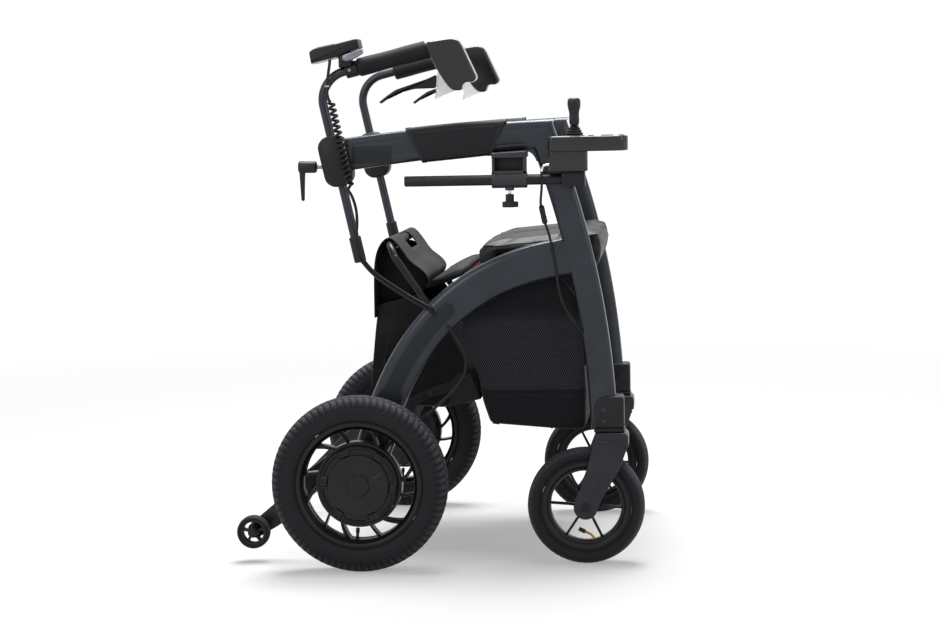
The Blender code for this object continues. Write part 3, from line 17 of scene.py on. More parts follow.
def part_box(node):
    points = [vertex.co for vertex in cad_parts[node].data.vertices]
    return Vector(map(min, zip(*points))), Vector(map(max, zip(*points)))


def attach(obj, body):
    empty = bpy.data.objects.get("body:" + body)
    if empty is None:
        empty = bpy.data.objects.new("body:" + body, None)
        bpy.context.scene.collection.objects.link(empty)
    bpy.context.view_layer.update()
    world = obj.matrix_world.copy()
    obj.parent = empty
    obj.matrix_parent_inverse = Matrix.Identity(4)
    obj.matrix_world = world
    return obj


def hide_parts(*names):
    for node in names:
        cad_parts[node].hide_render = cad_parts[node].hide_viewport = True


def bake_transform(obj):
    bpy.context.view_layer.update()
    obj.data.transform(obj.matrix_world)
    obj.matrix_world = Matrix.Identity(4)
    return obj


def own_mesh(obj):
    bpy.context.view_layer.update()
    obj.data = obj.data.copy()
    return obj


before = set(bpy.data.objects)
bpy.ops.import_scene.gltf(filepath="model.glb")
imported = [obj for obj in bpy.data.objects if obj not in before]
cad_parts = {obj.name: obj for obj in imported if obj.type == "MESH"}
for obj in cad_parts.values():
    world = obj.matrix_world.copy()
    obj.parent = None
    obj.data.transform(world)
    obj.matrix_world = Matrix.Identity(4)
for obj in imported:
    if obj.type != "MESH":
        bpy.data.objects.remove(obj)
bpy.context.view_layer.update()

low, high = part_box("hub_motor_right")
AXLE = np.array([(low.x + high.x) / 2, 0.0, 0.0])  # where this script's own X = 0 lies in the frame

# %% [markdown]
# The camera repeats the photograph: a long lens, low, looking slightly down from the right side.
# Its place came from fitting the two visible wheels on each side, so it is written as a place and
# three angles. The floor and the world are white to the camera and stay out of the object's light.

# %% Camera
EYE = np.array([0.5479, -3.8035, 0.7866])
YAW, PITCH, ROLL = 0.1003, 0.0974, -0.0200
FOCAL_MM, SENSOR_MM = 80.13, 36.0


def camera_matrix(eye, yaw, pitch, roll):
    """Columns: right, up and backwards, turned about the upright axis, then tilted, then rolled."""
    ahead = np.array([-math.sin(yaw) * math.cos(pitch), math.cos(yaw) * math.cos(pitch), -math.sin(pitch)])
    right = np.array([math.cos(yaw), math.sin(yaw), 0.0])
    up = np.cross(right, ahead)
    turned_right = math.cos(roll) * right + math.sin(roll) * up
    turned_up = math.cos(roll) * up - math.sin(roll) * right
    made = Matrix.Identity(4)
    for row in range(3):
        made[row][0], made[row][1], made[row][2] = turned_right[row], turned_up[row], -ahead[row]
        made[row][3] = (eye + AXLE)[row]
    return made


lens = bpy.data.cameras.new("camera")
lens.lens, lens.sensor_width, lens.clip_end = FOCAL_MM, SENSOR_MM, 60.0
camera = bpy.data.objects.new("camera", lens)
bpy.context.scene.collection.objects.link(camera)
camera.matrix_world = camera_matrix(EYE, YAW, PITCH, ROLL)
bpy.context.scene.camera = camera
bpy.context.scene.view_settings.view_transform = "Standard"
print("camera at", (EYE + AXLE).round(3))

# %% [markdown]
# Colours are picked as screen hex codes, but shaders work in linear light, so one function converts
# them. One more small function adds a node with its settings and links, and every material below
# is a short list of such nodes feeding the Principled shader.


# %% Colour and node helpers
def linear(code, alpha=1.0):
    """The linear colour of a hex code: each sRGB channel through the standard curve."""
    channels = np.array([int(code[i : i + 2], 16) for i in (0, 2, 4)]) / 255.0
    curve = np.where(channels <= 0.04045, channels / 12.92, ((channels + 0.055) / 1.055) ** 2.4)
    return (*[float(c) for c in curve], alpha)


def add(tree, kind, settings=(), **inputs):
    """Adds a shader node: settings are its own properties, inputs are values or other nodes' sockets."""
    made = tree.nodes.new("ShaderNode" + kind)
    for name, value in dict(settings).items():
        setattr(made, name, value)
    for name, value in inputs.items():
        socket = made.inputs[int(name[1:])] if name[0] == "_" else made.inputs[name.replace("_", " ")]
        if isinstance(value, bpy.types.NodeSocket):
            tree.links.new(value, socket)
        else:
            socket.default_value = value
    return made


def finish(name, colour, roughness, metallic=0.0, **extra):
    """A new Principled material with constant values; returns the material, its tree and its shader."""
    made = bpy.data.materials.new(name)
    made.use_nodes = True
    tree = made.node_tree
    shader = tree.nodes["Principled BSDF"]
    values = {"Base Color": linear(colour), "Roughness": roughness, "Metallic": metallic}
    values.update({key.replace("_", " "): value for key, value in extra.items()})
    for key, value in values.items():
        shader.inputs[key].default_value = value
    return made, tree, shader


def ramp(tree, factor, low_code, high_code, start=0.0, end=1.0):
    """A two-colour ramp between two hex codes, read at the factor."""
    made = add(tree, "ValToRGB", Fac=factor)
    for stop, place, code in zip(made.color_ramp.elements, (start, end), (low_code, high_code)):
        stop.position, stop.color = place, linear(code)
    return made.outputs["Color"]


def grain(tree, vector, size_mm, detail=2.0):
    """Noise whose blobs are about size_mm across, read at a position in metres."""
    return add(tree, "TexNoise", Vector=vector, Scale=1000.0 / size_mm, Detail=detail).outputs["Fac"]


def raise_bump(tree, shader, height, deep_mm, strength=1.0):
    """Feeds a height from 0 to 1, worth deep_mm, into the shader's normal."""
    bump = add(tree, "Bump", Height=height, Strength=strength, Distance=deep_mm / 1000.0)
    tree.links.new(bump.outputs["Normal"], shader.inputs["Normal"])


def place_of(tree):
    return add(tree, "TexCoord").outputs["Object"]


# %% [markdown]
# Rigid finishes. The frame is powder-coated aluminium: a satin blue-grey with the faint orange peel of
# a baked coat, mottled a little over a few centimetres. Mouldings are black nylon with a spark-eroded
# grain, or smooth glossy ABS. Castings keep a sandy grain. Scales are in millimetres of real texture,
# drawn a little coarser than life so that they show at this distance.


# %% Rigid materials
def coated(name, light_code, dark_code, rough, metal, peel_mm=0.9, deep_mm=0.012, coat=0.0):
    """Paint or moulding: two close colours mottled over a few centimetres, fine grain in the surface."""
    made, tree, shader = finish(name, light_code, rough, metal, Coat_Weight=coat, Coat_Roughness=0.12)
    if metal < 0.4:
        shader.inputs["Specular IOR Level"].default_value = 0.25
    spot = place_of(tree)
    broad = grain(tree, spot, 38.0, 3.0)
    tree.links.new(ramp(tree, broad, dark_code, light_code, 0.3, 0.7), shader.inputs["Base Color"])
    fine = grain(tree, spot, peel_mm, 3.0)
    spread = add(tree, "MapRange", Value=fine, To_Min=rough - 0.05, To_Max=rough + 0.05)
    tree.links.new(spread.outputs["Result"], shader.inputs["Roughness"])
    raise_bump(tree, shader, fine, deep_mm)
    return made


def rubber(name, dark_code, worn_code):
    """Tyre rubber: dark in its grooves and on the side wall, scuffed lighter on the raised tread."""
    made, tree, shader = finish(name, dark_code, 0.72, Specular_IOR_Level=0.22)
    spot = place_of(tree)
    dust = add(tree, "Math", {"operation": "MULTIPLY_ADD"}, _0=grain(tree, spot, 30.0, 4.0), _1=0.5, _2=0.55).outputs[0]
    worn = add(tree, "Attribute", {"attribute_name": "worn"}).outputs["Fac"]
    share = add(tree, "Math", {"operation": "MULTIPLY", "use_clamp": True}, _0=worn, _1=dust).outputs[0]
    tree.links.new(ramp(tree, share, dark_code, worn_code), shader.inputs["Base Color"])
    raise_bump(tree, shader, grain(tree, spot, 1.1, 3.0), 0.05)
    return made


POWDER_COAT = coated("powder_coated_aluminium", "31363d", "292d33", 0.27, 0.5)
FORK_ALLOY = coated("satin_grey_forging", "35353a", "2e2e33", 0.36, 0.35, 0.8, 0.01)
LEVER_ALLOY = coated("black_lever_casting", "262628", "1e1e20", 0.34, 0.2, 0.8, 0.01)
BLACK_NYLON = coated("grained_black_nylon", "232326", "1c1c1f", 0.44, 0.0, 0.7, 0.03)
GREY_NYLON = coated("grained_charcoal_nylon", "2b2c2e", "242527", 0.40, 0.0, 0.7, 0.03)
BLACK_ALLOY = coated("black_anodised_aluminium", "1d1d20", "17171a", 0.30, 0.6, 0.5, 0.006)
GLOSS_ABS = coated("gloss_black_abs", "19191c", "131316", 0.18, 0.0, 2.5, 0.004, 0.5)
MOTOR_SHELL = coated("black_motor_casting", "1b1a1d", "151417", 0.32, 0.2, 0.8, 0.01, 0.1)
CAST_ALLOY = coated("sand_cast_alloy", "3a3b3f", "303135", 0.46, 0.5, 0.9, 0.05)
TYRE_RUBBER = rubber("tyre_rubber", "222226", "46474c")
GRIP_FOAM = coated("soft_grip_rubber", "131315", "0e0e10", 0.66, 0.0, 0.8, 0.05)
CABLE_PVC = coated("black_pvc_cable", "1a1a1c", "131315", 0.40, 0.0, 1.5, 0.01)
ARC_INLAY = coated("arc_inlay_film", "27292d", "202226", 0.42, 0.1, 0.7, 0.004)
SILVER_SATIN = coated("satin_silver_moulding", "a1a5b0", "9599a4", 0.30, 0.2, 0.6, 0.006)
# Pale nylon: the pale cable tie's own colour, and painted light on the display unit's underside.
PALE_NYLON_AND_UNDERSIDE_LIGHT = coated("pale_nylon_and_painted_underside_light", "f4f4f3", "ececeb", 0.45, 0.0, 0.8, 0.02)
FROSTED, _, _ = finish("frosted_polypropylene", "f4f4f4", 0.5, Transmission_Weight=0.8, IOR=1.3)
STEEL = coated("zinc_plated_steel", "8d8f94", "7a7c81", 0.30, 1.0, 0.4, 0.006)
CHROME = coated("polished_chrome", "cfd1d6", "c2c4c9", 0.10, 1.0, 0.3, 0.001)
BRASS = coated("turned_brass", "b48a3a", "9c7429", 0.26, 1.0, 0.4, 0.006)
print("materials so far:", len(bpy.data.materials))

# %% [markdown]
# Every new shape below is a grid of points: rows along the piece, columns around its section. A grid is
# worked out as one array, so a formula in words says all there is to know about the shape. The helpers
# here round an outline's corners, pull it into a slab with rounded edges, turn a profile about an axis,
# and carry a section along a path.


# %% Shape helpers
def softened(outline, radius, steps=4):
    """Each corner of a closed outline becomes a short quadratic curve that starts radius from it."""
    here = np.asarray(outline, float)
    back = np.roll(here, 1, axis=0) - here
    on = np.roll(here, -1, axis=0) - here
    far_back = np.linalg.norm(back, axis=1, keepdims=True)
    far_on = np.linalg.norm(on, axis=1, keepdims=True)
    reach = np.minimum(np.broadcast_to(np.reshape(radius, (-1, 1)), far_on.shape), 0.49 * np.minimum(far_back, far_on))
    start, end = here + back / far_back * reach, here + on / far_on * reach
    t = np.linspace(0.0, 1.0, steps + 1)[None, :, None]
    curve = (1 - t) ** 2 * start[:, None] + 2 * t * (1 - t) * here[:, None] + t**2 * end[:, None]
    return curve.reshape(-1, 2)


def inset(outline, amount):
    """A closed outline moved inwards by an equal distance along both of each corner's sides."""
    turn = np.sign(np.sum(outline[:, 0] * np.roll(outline[:, 1], -1) - np.roll(outline[:, 0], -1) * outline[:, 1]))
    side = np.roll(outline, -1, axis=0) - outline
    side /= np.maximum(np.linalg.norm(side, axis=1, keepdims=True), 1e-9)
    normal = np.stack([-side[:, 1], side[:, 0]], -1) * turn
    before = np.roll(normal, 1, axis=0)
    return outline + amount * (normal + before) / (1 + np.sum(normal * before, axis=1, keepdims=True)).clip(0.4)


def skin(grid, loop=False, around=True):
    """Quads between neighbouring rows and columns; a grid that isn't a loop gets a flat cap at each end."""
    rows, cols = grid.shape[:2]
    ids = np.arange(rows * cols).reshape(rows, cols)
    caps = [] if loop or not around else [ids[0, ::-1].tolist(), ids[-1].tolist()]
    if loop:
        ids = np.vstack([ids, ids[:1]])
    if around:
        ids = np.hstack([ids, ids[:, :1]])
    quads = np.stack([ids[:-1, :-1], ids[:-1, 1:], ids[1:, 1:], ids[1:, :-1]], -1).reshape(-1, 4)
    return grid.reshape(-1, 3), quads.tolist() + caps


def stood(flat, level, axis):
    """Two plane coordinates and a level become 3-D: the plane is XZ for axis Y, YZ for X, XY for Z."""
    level = np.broadcast_to(level, flat.shape[:-1])
    u, v = flat[..., 0], flat[..., 1]
    return np.stack({"Y": (u, level, v), "X": (level, u, v), "Z": (u, v, level)}[axis], -1)


def slab(outline, low, high, axis="Y", corner=0.002, edge=0.001, steps=3, shrunk=()):
    """An outline with softened corners, pulled from low to high; its rims follow a quarter circle.
    On a large side, rings that shrink towards the middle keep the faces, and with them the light, even."""
    flat = softened(outline, corner)
    angle = np.linspace(0.0, math.pi / 2, steps + 1)
    sunk = edge * (1 - np.sin(angle))
    rise = edge * (1 - np.cos(angle))
    rings = [(a, low + b) for a, b in zip(sunk, rise)] + [(a, high - b) for a, b in zip(sunk[::-1], rise[::-1])]
    rows = [stood(inset(flat, a), level, axis) for a, level in rings]
    middle = (rows[0].min(axis=0) + rows[0].max(axis=0)) / 2
    near = [middle + (rows[0] - middle) * f for f in shrunk]
    far = [row + (rows[-1][0] - rows[0][0]) for row in near[::-1]]
    return skin(np.stack(near + rows + far))


def turned(profile, centre, axis="Y", steps=64, closed=False, phase=0.0):
    """A profile of (radius, distance along the axis) turned once round; closed joins its two ends."""
    profile = np.asarray(profile, float)
    angle = phase + np.linspace(0.0, 2 * math.pi, steps, endpoint=False)
    around = np.stack([np.cos(angle), np.sin(angle)], -1)[None] * profile[:, 0, None, None]
    return skin(np.asarray(centre) + stood(around, profile[:, 1, None], axis), loop=closed)


def carried(path, section, sideways=None):
    """A section (or one per station) carried along a path, held square to it without twisting."""
    path = np.asarray(path, float)
    way = np.gradient(path, axis=0)
    way /= np.linalg.norm(way, axis=1, keepdims=True)
    across = np.array(sideways if sideways is not None else np.cross(way[0], (0.31, 0.17, 0.93)), float)
    sides = []
    for step in way:
        across = across - step * (across @ step)
        across /= np.linalg.norm(across)
        sides.append(across)
    sides = np.array(sides)
    ups = np.cross(way, sides)
    section = np.broadcast_to(section, (len(path), *np.shape(section)[-2:]))
    return path[:, None] + section[..., :1] * sides[:, None] + section[..., 1:] * ups[:, None]


def round_section(radius, steps=12):
    angle = np.linspace(0.0, 2 * math.pi, steps, endpoint=False)
    return np.stack([np.cos(angle), np.sin(angle)], -1) * radius


def bar(start, end, radius, steps=20, edge=0.0006):
    """A round pin between two points, with its rims rounded off."""
    start, end = np.asarray(start, float), np.asarray(end, float)
    way = (end - start) / np.linalg.norm(end - start)
    stations = np.array([start, start + 0.3 * edge * way, start + edge * way])
    path = np.vstack([stations, (start + end - stations)[::-1]])
    scale = np.array([1 - edge / radius, 1 - 0.3 * edge / radius, 1, 1, 1 - 0.3 * edge / radius, 1 - edge / radius])
    return skin(carried(path, round_section(radius, steps)[None] * scale[:, None, None]))


def route(points, step):
    """A smooth route through given points: Catmull-Rom curves, a point about every step."""
    guide = np.asarray(points, float)
    guide = np.vstack([2 * guide[0] - guide[1], guide, 2 * guide[-1] - guide[-2]])
    out = []
    for a, b, c, d in zip(guide, guide[1:], guide[2:], guide[3:]):
        t = np.linspace(0, 1, max(2, round(np.linalg.norm(c - b) / step) + 1))[:-1, None]
        out.append(0.5 * (2 * b + (c - a) * t + (2 * a - 5 * b + 4 * c - d) * t**2 + (3 * b - a - 3 * c + d) * t**3))
    return np.vstack([*out, guide[-2:-1]])


def piece(name, parts, material, body, stands_for=(), side=1, sharp=38.0, slot=None, worn=None):
    """One object from several skins, mirrored in Y where side is -1, moved to its place in the frame.
    Its worn attribute, 1 where ground or hands rub it and 0 elsewhere, is for the shader."""
    points, faces = [], []
    for part_points, part_faces in parts:
        start = sum(len(p) for p in points)
        points.append(np.asarray(part_points, float) * (1, side, 1) + AXLE)
        faces += [[start + i for i in face] for face in part_faces]
    mesh = bpy.data.meshes.new(name)
    mesh.from_pydata(np.vstack(points).tolist(), [], faces)
    work = bmesh.new()
    work.from_mesh(mesh)
    bmesh.ops.recalc_face_normals(work, faces=work.faces)
    work.to_mesh(mesh)
    work.free()
    mesh.shade_smooth()
    mesh.set_sharp_from_angle(angle=math.radians(sharp))
    mesh.materials.append(material)
    if worn is not None:
        mesh.attributes.new("worn", "FLOAT", "POINT").data.foreach_set("value", np.asarray(worn, np.float32))
    made = bpy.data.objects.new(name, mesh)
    COLLECTION.objects.link(made)
    if body:
        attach(made, body)
    if stands_for:
        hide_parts(*([stands_for] if isinstance(stands_for, str) else stands_for))
    return made


COLLECTION = bpy.context.scene.collection
SIDES = (("right", -1), ("left", 1))


def eased(low, high, value):
    """Rises smoothly from 0 at low to 1 at high."""
    share = np.clip((value - low) / (high - low), 0.0, 1.0)
    return share * share * (3 - 2 * share)


# %% [markdown]
# The studio. A wide floor catches the shadows. Rays that come from the camera, or that a shiny surface
# sends out, see it lifted to white, and the object itself gets no light from that lift. Three
# large lamps light the object: one overhead, one from the front left and a weak one from the right.


# %% Floor, world and lamps
def seen(tree):
    """1 for camera, glossy and transmission rays, 0 for the rays that carry light to the object."""
    path = add(tree, "LightPath").outputs
    some = add(tree, "Math", {"operation": "ADD"}, _0=path["Is Camera Ray"], _1=path["Is Glossy Ray"]).outputs[0]
    return add(tree, "Math", {"operation": "ADD", "use_clamp": True}, _0=some, _1=path["Is Transmission Ray"]).outputs[0]


def between(tree, factor, low, high):
    return add(tree, "MapRange", Value=factor, To_Min=low, To_Max=high).outputs["Result"]


PAPER, paper_tree, paper = finish("pale_paper_floor", "acacac", 0.9, Specular_IOR_Level=0.0, Emission_Color=(1, 1, 1, 1))
far_off = add(paper_tree, "VectorMath", {"operation": "LENGTH"}, _0=place_of(paper_tree)).outputs["Value"]
fade = add(paper_tree, "MapRange", Value=far_off, From_Min=1.2, From_Max=4.5, To_Min=0.36, To_Max=1.0).outputs["Result"]
lift = add(paper_tree, "Math", {"operation": "MULTIPLY"}, _0=fade, _1=seen(paper_tree)).outputs[0]
paper_tree.links.new(lift, paper.inputs["Emission Strength"])
floor_mesh = bpy.data.meshes.new("floor")
floor_mesh.from_pydata([(-40, -8, 0), (40, -8, 0), (40, 80, 0), (-40, 80, 0)], [], [(0, 1, 2, 3)])
floor_mesh.materials.append(PAPER)
floor = bpy.data.objects.new("floor", floor_mesh)
bpy.context.scene.collection.objects.link(floor)

world = bpy.data.worlds.new("studio")
world.use_nodes = True
bpy.context.scene.world = world
sky = world.node_tree.nodes["Background"]
sky.inputs["Color"].default_value = (1.0, 1.0, 1.0, 1.0)
world.node_tree.links.new(between(world.node_tree, seen(world.node_tree), 0.22, 1.0), sky.inputs["Strength"])

for name, place, size, power in (
    ("overhead", (0.1, 0.35, 2.7), 1.7, 140.0),
    ("front_left", (-1.7, -2.6, 1.9), 1.4, 18.0),
    ("right", (2.6, -1.6, 1.5), 1.4, 8.0),
):
    lamp = bpy.data.lights.new(name, "AREA")
    lamp.shape, lamp.size, lamp.energy = "DISK", size, power
    stand = bpy.data.objects.new(name, lamp)
    stand.location = place
    stand.rotation_euler = (Vector((0.0, 0.0, 0.45)) - Vector(place)).to_track_quat("-Z", "Y").to_euler()
    bpy.context.scene.collection.objects.link(stand)


# %% [markdown]
# The side frame is three extrusions that lie in one upright plane. Each centre line is a formula: the
# leg and the arm tube are shallow parabolas and the arc is a cubic Bezier. A section with
# rounded corners is carried along each, and the ends are trimmed by planes where the tubes meet.


# %% Frame tubes
FRAME_Y, HALF, GAP = 0.231, 0.015, 0.0003
MITRE_FOOT, MITRE_OUT = np.array([0.3030, 0.0, 0.7165]), np.array([-0.8032, 0.0, 0.5957])
LEAN = math.radians(12.1)
STEM_WAY = np.array([-math.sin(LEAN), 0.0, math.cos(LEAN)])
STEM_AHEAD = np.array([math.cos(LEAN), 0.0, math.sin(LEAN)])
STEM_FOOT = np.array([0.0003, 0.0, 0.5269])


def upright(*places):
    """Points of the frame's plane from (x, z) pairs."""
    flat = np.asarray(places, float)
    return np.stack([flat[:, 0], np.full(len(flat), FRAME_Y), flat[:, 1]], -1)


def onto(ring, way, point, normal):
    """A ring of points slid along a direction until it lies in a plane."""
    way, point, normal = (np.asarray(v, float) for v in (way, point, normal))
    return ring + (((point - ring) @ normal) / (way @ normal))[..., None] * way


def trimmed(path, section, start=None, end=None):
    """A section carried along a frame tube, its two ends slid onto planes given as (point, normal)."""
    grid = carried(path, section, (0, 1, 0)).copy()
    if start:
        grid[0] = onto(grid[0], path[1] - path[0], *start)
    if end:
        grid[-1] = onto(grid[-1], path[-1] - path[-2], *end)
    return grid


def box_section(depth, half=HALF, corner=0.0105):
    """A rectangle with rounded corners: sideways first, then up from the path."""
    d = depth / 2
    return softened([(half, -d), (half, d), (-half, d), (-half, -d)], corner, 4)


def oval_section(depth):
    """The arc's section: gently crowned sides and rounder narrow edges."""
    d = depth / 2
    quarter = np.array([(HALF, 0.22 * d), (0.955 * HALF, 0.62 * d), (0.80 * HALF, 0.85 * d), (0.38 * HALF, d)])
    upper = np.vstack([quarter, quarter[::-1] * (-1, 1)])
    return softened(np.vstack([upper, -upper]), 0.0035, 2)


def leg_line(z):
    return 0.4174 - 0.3365 * (np.asarray(z) - 0.198) ** 2


def arm_line(x):
    return 0.7431 - 0.144 * (np.asarray(x) - 0.439) ** 2


def arm_depth(x):
    return 0.056 - 0.005 * np.clip(np.asarray(x) / 0.303, 0, 1)


def arc_line(t):
    """The arc's centre line: a cubic Bezier from the axle to the leg."""
    t = np.asarray(t, float)[:, None]
    first, final = math.radians(76.4), math.radians(8.75)
    a, d = np.array([0.0, 0.152]), np.array([0.3433, 0.530])
    b = a + 0.217 * np.array([math.cos(first), math.sin(first)])
    c = d - 0.198 * np.array([math.cos(final), math.sin(final)])
    return (1 - t) ** 3 * a + 3 * (1 - t) ** 2 * t * b + 3 * (1 - t) * t**2 * c + t**3 * d


def leg_grid():
    z = np.r_[0.262, np.linspace(0.275, 0.69, 26), 0.725]
    path = upright(*zip(leg_line(z), z))
    foot = ((0.0, 0.0, 0.2355), (0.0, 0.0, 1.0))
    return trimmed(path, box_section(0.0462), foot, (MITRE_FOOT - MITRE_OUT * GAP / 2, MITRE_OUT))


def arm_grid(x, grow=0.0, start=None, end=None, corner=0.0105):
    path = upright(*zip(x, arm_line(x)))
    sections = np.stack([box_section(depth + 2 * grow, HALF + grow, corner) for depth in arm_depth(x)])
    return trimmed(path, sections, start, end)


def scored(section, heights, wide=0.0012, deep=0.0006):
    """A box section with V grooves pressed into its outer side at shares of its height."""
    top = np.argmax((section[:, 0] > HALF - 1e-6) & (section[:, 1] > 0))
    high = section[:, 1].max()
    cuts = [(HALF - d, share * high + w) for share in heights for w, d in ((-wide, 0), (0, deep), (wide, 0))]
    return np.insert(section, top, cuts, axis=0)


def arc_grid():
    """The arc, with a rounded nose below the axle; its upper end runs 9 mm into the leg, as a weld does."""
    nose = np.radians([86, 78, 68, 56, 42, 28, 14])
    t = np.r_[np.linspace(0, 0.96, 34), 1.0]
    line = arc_line(t)
    first = np.array([math.cos(math.radians(76.4)), math.sin(math.radians(76.4))])
    line = np.vstack([line[0] - 0.0262 * np.sin(nose)[:, None] * first, line])
    depth = np.r_[0.058 * np.cos(nose) ** 0.62, 0.058 + 0.007 * t]
    low, high = (np.array([leg_line(z), z]) for z in (0.497, 0.570))
    way = (high - low) / np.linalg.norm(high - low)
    slope = np.array([-way[1], way[0]])
    face = low + slope * (0.0231 - 0.009)
    return trimmed(
        upright(*line), np.stack([oval_section(d) for d in depth]), None, ((face[0], 0, face[1]), (slope[0], 0, slope[1]))
    )


def scissor_bracket(low, high):
    """The plate inside the arc that carries the cross, with its round ear."""
    outline = [
        (0.1630, 0.3555), (0.1935, 0.3760), (0.2015, 0.3920), (0.2015, 0.4815), (0.2190, 0.4890), (0.2190, 0.5150),
        (0.2070, 0.5120), (0.1895, 0.4890), (0.1895, 0.3980), (0.1630, 0.3785),
    ]
    half_ear = [(0.0071, low), (0.0112, low), (0.0118, low + 0.0006)]
    ear = turned(half_ear + [(r, low + high - x) for r, x in half_ear[::-1]], (0, 0.163, 0.367), "X", 32, closed=True)
    return [slab(outline, low + 0.0004, high - 0.0004, "X", 0.006, 0.0012), ear]


def arc_inlay(start, end, half):
    """A thin strip with round ends let into the arc's flat side."""
    t = np.linspace(start, end, 60)
    line = arc_line(t)
    way = np.gradient(line, axis=0)
    way /= np.linalg.norm(way, axis=1, keepdims=True)
    far = np.r_[0, np.cumsum(np.linalg.norm(np.diff(line, axis=0), axis=1))]
    end_gap = np.minimum(far, far[-1] - far)
    width = half * np.sqrt(np.clip(1 - (1 - np.minimum(end_gap / half, 1)) ** 2, 0.02, 1))
    across = np.stack([-way[:, 1], way[:, 0]], -1) * width[:, None]
    ring = [(u, v) for u, v in ((-1.0, -0.0004), (-1.0, 0.0000), (-0.96, 0.00012), (0.96, 0.00012), (1.0, 0.0), (1.0, -0.0004))]
    return skin(np.stack([stood(line + across * u, FRAME_Y + HALF + v, "Y") for u, v in ring], axis=1))


def gusset():
    """The rounded filling in the inner corner between the arm and the leg."""
    z = 0.690
    for _ in range(8):
        x = leg_line(z) - 0.0231
        z = float(arm_line(x) - arm_depth(x) / 2)
    corner = np.array([x, z])
    down, back = np.array([0.21, -0.978]), np.array([-0.999, -0.035])
    t = np.linspace(0, 1, 9)[:, None]
    a, b = corner + down * 0.020, corner + back * 0.018
    curve = (1 - t) ** 2 * a + 2 * t * (1 - t) * (corner + (down + back) * 0.0015) + t**2 * b
    outline = np.vstack([curve, b + (0.004, 0.004), corner + (0.004, 0.004), a + (0.004, 0.004)])
    rings = [stood(outline, y, "Y") for y in (FRAME_Y - HALF + 0.003, FRAME_Y + HALF - 0.003)]
    return skin(np.stack(rings))


AXLE_PROFILE = [(0.0160, 0.236), (0.0170, 0.237), (0.0170, 0.265), (0.0160, 0.266), (0.0060, 0.266), (0.0060, 0.3085)]
BLOCK_FACE = STEM_FOOT + STEM_AHEAD * (0.025 + GAP)
EARS = {"right": (0.2535, 0.2705), "left": (0.2395, 0.2565)}
for name, side in SIDES:
    body = name + "_frame"
    leg = skin(leg_grid())
    arm_x = np.r_[0.0, np.linspace(0.02, 0.275, 15), 0.295]
    front = (MITRE_FOOT + MITRE_OUT * GAP / 2, MITRE_OUT)
    grooved = np.stack([scored(box_section(depth), (-0.5, 0.5)) for depth in arm_depth(arm_x)])
    arm = skin(trimmed(upright(*zip(arm_x, arm_line(arm_x))), grooved, (BLOCK_FACE, STEM_AHEAD), front))
    rest = slab([(0.288, 0.152), (0.312, 0.152), (0.312, 0.219), (0.288, 0.219)], 0.500, 0.5127, "Z", 0.003, 0.001)
    arc = [skin(arc_grid()), turned(AXLE_PROFILE, (0, 0, 0.152), "Y", 40), rest, *scissor_bracket(*EARS[name])]
    piece("arc_inlay_" + name, [arc_inlay(0.20, 0.62, 0.0135)], ARC_INLAY, body, side=side, slot="frame_paint")
    label = slab([(-0.0085, 0.7275), (0.0605, 0.7275), (0.0600, 0.6967), (-0.0090, 0.6967)], FRAME_Y + HALF - 0.0004, FRAME_Y + HALF + 0.0002, "Y", 0.002, 0.0002)
    piece("arm_inlay_" + name, [label], ARC_INLAY, body, side=side, slot="frame_paint")
    piece("corner_gusset_" + name, [gusset()], POWDER_COAT, body, side=side, slot="frame_paint")
    piece("leg_extrusion_" + name, [leg], POWDER_COAT, body, "front_leg_" + name, side)
    piece("arm_extrusion_" + name, [arm], POWDER_COAT, body, "arm_tube_" + name, side)
    piece("arc_extrusion_" + name, arc, POWDER_COAT, body, "arc_tube_" + name, side)
print("frame tubes done")


# %% [markdown]
# The wheels are turned about their axles. The rear tyre is a torus-like skin pressed in along its
# outline's normal wherever a groove runs: 77 slanted shoulder blocks, two offset rows between them and
# two grooves round the tread. Rims are turned rings with curved vanes, drawn in polar coordinates.


# %% Wheels
REAR_Y, REAR_RADIUS, FRONT_X, FRONT_RADIUS = 0.300, 0.152, 0.384, 0.1013
REAR_MIDDLE = np.array([0.0, REAR_Y, REAR_RADIUS])
FRONT_MIDDLE = np.array([FRONT_X, FRAME_Y, FRONT_RADIUS])


def evened(points, count):
    """Points spaced evenly along a smooth route through the given ones."""
    dense = route(points, 0.0006)
    far = np.r_[0, np.cumsum(np.linalg.norm(np.diff(dense, axis=0), axis=1))]
    wanted = np.linspace(0, far[-1], count)
    return np.stack([np.interp(wanted, far, dense[:, i]) for i in range(dense.shape[1])], -1)


def tyre(half_outline, middle, blocks, samples, rows, groove):
    """A tyre from bead to bead; groove(angle, distance from the middle) gives how deep it is pressed in."""
    outer = evened([(r, -h, 0) for r, h in half_outline] + [(r, h, 0) for r, h in half_outline[-2::-1]], rows)[:, :2]
    way = np.gradient(outer, axis=0)
    normal = np.stack([way[:, 1], -way[:, 0]], -1) / np.linalg.norm(way, axis=1, keepdims=True)
    angle = np.linspace(0, 2 * math.pi, blocks * samples, endpoint=False)
    deep = groove(angle[None, :], outer[:, 1:2], outer[:, :1])
    ring = outer[:, None] - np.where(normal[:, None, :1] * 0 == 0, normal[:, None], 0) * deep[..., None]
    bead = np.broadcast_to(np.array([[half_outline[0][0] - 0.0002, 0.0]])[:, None], (1, len(angle), 2))
    ring = np.vstack([ring, bead])
    places = np.stack([ring[..., 0] * np.cos(angle), ring[..., 1], ring[..., 0] * np.sin(angle)], -1) + middle
    worn = np.vstack([1 - deep / max(deep.max(), 1e-9), np.zeros((1, len(angle)))])
    shown = np.vstack([eased(0.90, 0.96, outer[:, :1] / outer[:, 0].max()) * np.ones_like(deep), np.zeros((1, len(angle)))])
    return skin(places, loop=True), (worn * shown).reshape(-1)


